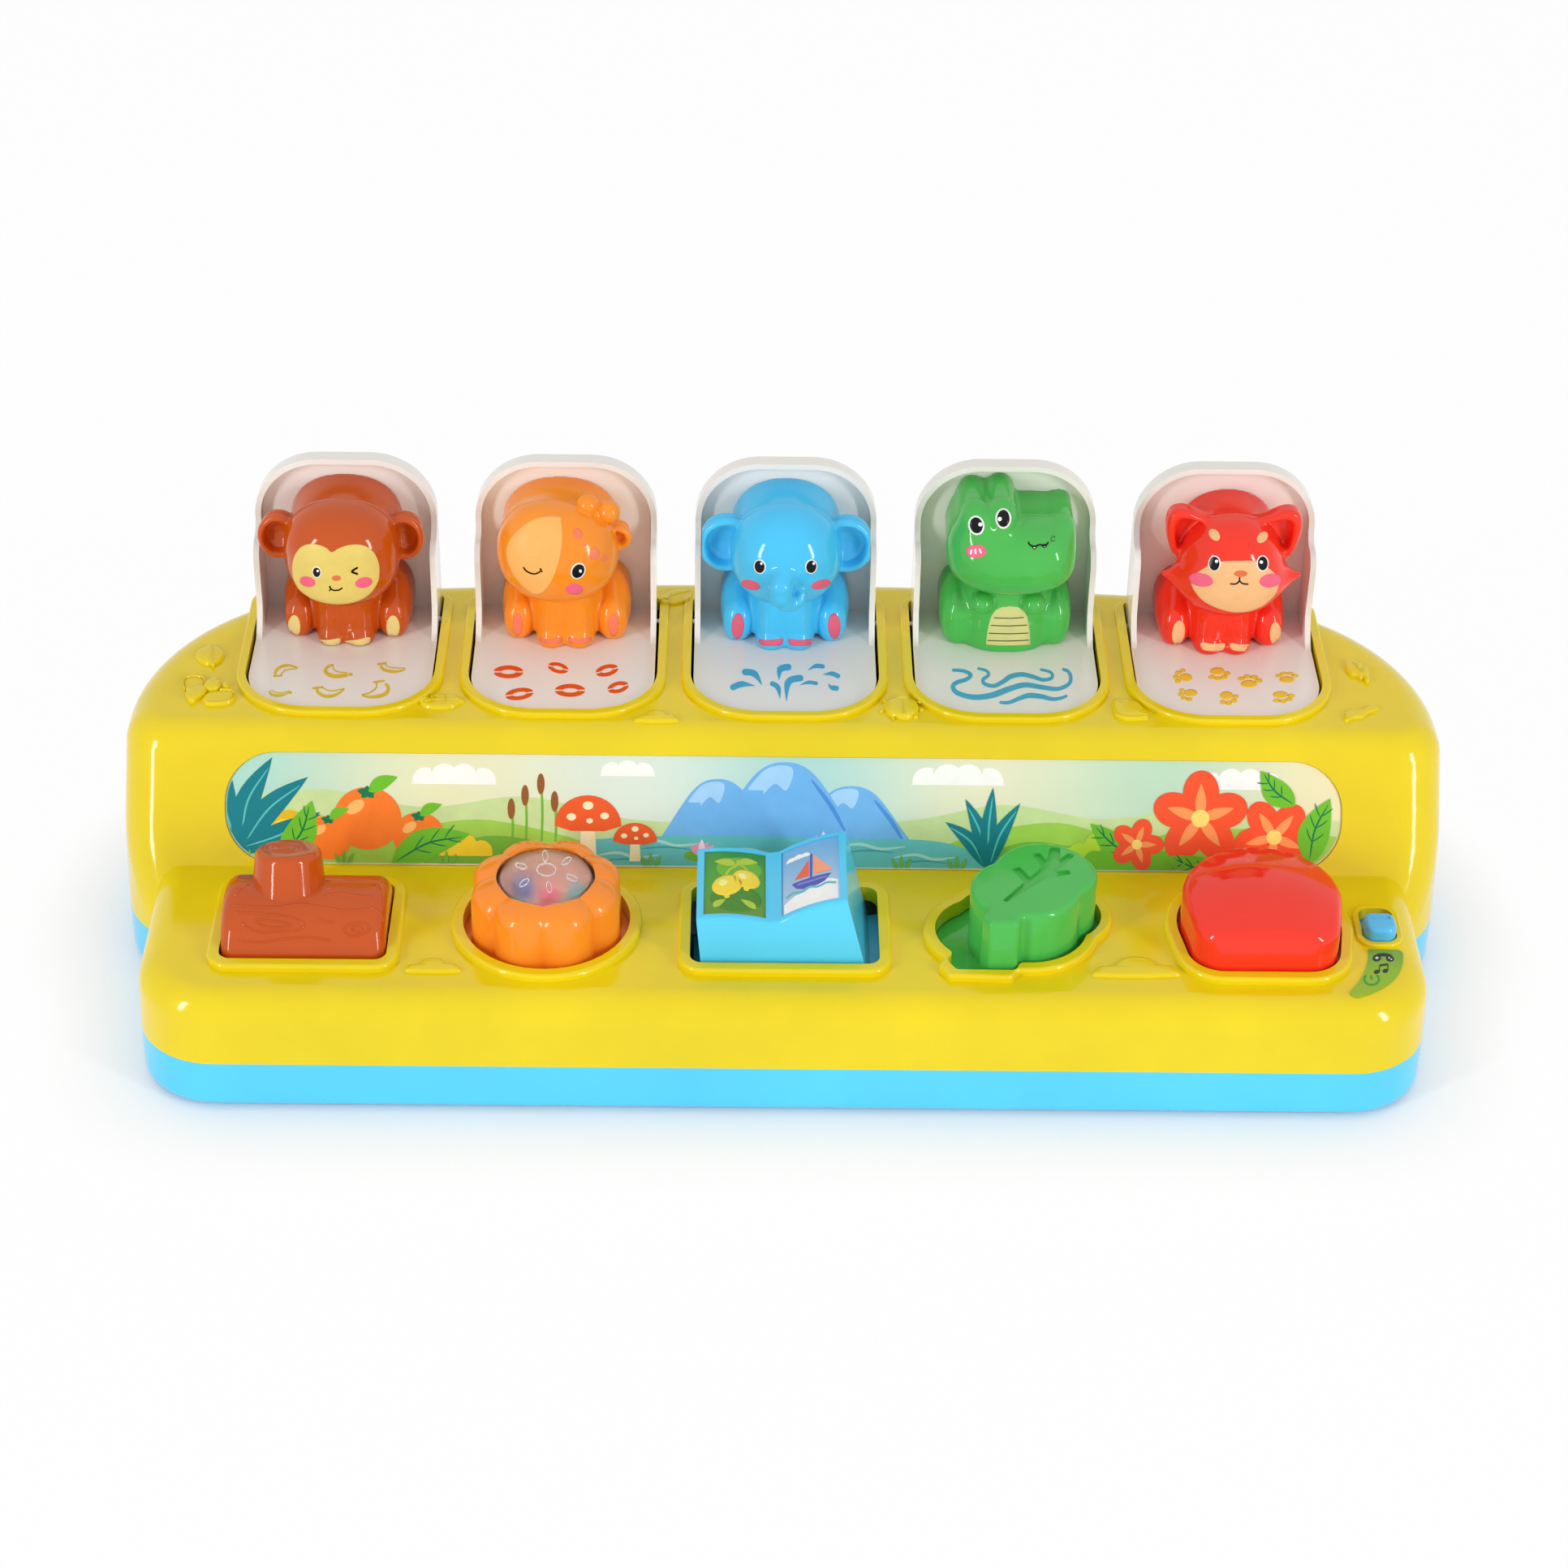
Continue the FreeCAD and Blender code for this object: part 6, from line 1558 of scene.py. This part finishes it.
def return_spring():
    """Coil spring under the red button, on its seat in the housing."""
    x, y = SPRING_PLACE
    count, sides = 220, 10
    points, faces = [], []
    for i in range(count + 1):
        turn = SPRING_TURNS * i / count
        rise = min(max((turn - 0.5) / (SPRING_TURNS - 1.0), 0.0), 1.0)
        out = Vector((math.cos(2 * math.pi * turn), math.sin(2 * math.pi * turn), 0.0))
        z = SPRING_LOW + WIRE_R + (SPRING_HIGH - SPRING_LOW - 2 * WIRE_R) * rise
        for k in range(sides):
            b = 2 * math.pi * k / sides
            round_wire = out * math.cos(b) + Vector((0, 0, 1)) * math.sin(b)
            points.append(Vector((x, y, z)) + out * SPRING_R + round_wire * WIRE_R)
    for i in range(count):
        for k in range(sides):
            a, b = i * sides + k, i * sides + (k + 1) % sides
            faces.append((a, b, b + sides, a + sides))
    faces += [tuple(range(sides))[::-1], tuple(range(count * sides, (count + 1) * sides))]
    piece = new_piece("return_spring", points, faces, MAT["spring"], "housing")
    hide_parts("red_button_spring")
    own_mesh(piece)


ornaments()
log_grain()
dome_marks()
return_spring()

# ---------------------------------------------------------------- room
FLOOR_HALF = 6.0         # metres
CONTACT_REACH = 0.03     # metres: how far the shade round the object's foot reaches
CONTACT_POWER = 2.2
FLOOR_GLOW = 0.95
SKY = 0.5                # what the world lights the object with, while the camera sees 1


def background_rays(n):
    """1 for the rays that show the background: from the camera, or by way of gloss or clear plastic."""
    path = n.add("LightPath")
    share = path.outputs["Is Camera Ray"]
    for kind in ("Is Glossy Ray", "Is Transmission Ray"):
        share = n.math("MAXIMUM", share, path.outputs[kind])
    return share


def floor_material():
    """Pale paint under a white glow, which gives way to the paint and its shadow at the object's foot."""
    n = Nodes(bpy.data.materials.new("pale floor"))
    mottle = n.noise(n.place(), Scale=3.0, Detail=3.0)
    greys = [(position, (grey, grey, grey, 1)) for position, grey in ((0.0, 0.96), (1.0, 0.99))]
    paint = n.add("BsdfDiffuse", Color=n.ramp(mottle, greys))
    open_sky = n.add("AmbientOcclusion", Distance=CONTACT_REACH, samples=8)
    contact = n.math("POWER", open_sky.outputs["AO"], CONTACT_POWER)
    share = n.math("MULTIPLY", background_rays(n), n.math("MULTIPLY", contact, FLOOR_GLOW))
    return n.finish(n.blend(share, paint, n.add("Emission", Strength=1.0)))


def add_floor():
    corners = [(x * FLOOR_HALF, y * FLOOR_HALF, 0) for x, y in ((-1, -1), (1, -1), (1, 1), (-1, 1))]
    mesh = bpy.data.meshes.new("floor")
    mesh.from_pydata(corners, [], [(0, 1, 2, 3)])
    mesh.materials.append(floor_material())
    floor = bpy.data.objects.new("floor", mesh)
    bpy.context.scene.collection.objects.link(floor)


def add_world():
    world = bpy.data.worlds.new("studio")
    bpy.context.scene.world = world
    n = Nodes(world, "OutputWorld")
    dim, bright = (n.add("Background", Color=(1, 1, 1, 1), Strength=strength) for strength in (SKY, 1.0))
    n.finish(n.blend(background_rays(n), dim, bright))


def add_softbox(name, place, target, size, watts, mirrored):
    """Rectangular light. One that isn't mirrored gives light and shows in no gloss."""
    data = bpy.data.lights.new(name, "AREA")
    data.shape = "RECTANGLE"
    data.size, data.size_y = size
    data.energy = watts
    lamp = bpy.data.objects.new(name, data)
    lamp.visible_glossy = mirrored
    lamp.location = place
    lamp.rotation_mode = "QUATERNION"
    lamp.rotation_quaternion = (Vector(target) - Vector(place)).to_track_quat("-Z", "Y")
    bpy.context.scene.collection.objects.link(lamp)


add_floor()
add_world()
for side, name in ((-1, "left"), (1, "right")):
    add_softbox("softbox " + name, place=(side * 1.05, -0.92, 0.5), target=(0, 0, 0.05),
                size=(0.14, 0.8), watts=8.0, mirrored=True)
add_softbox("softbox above", place=(0.0, 0.5, 1.7), target=(0, 0, 0),
            size=(2.4, 1.6), watts=6.2, mirrored=False)
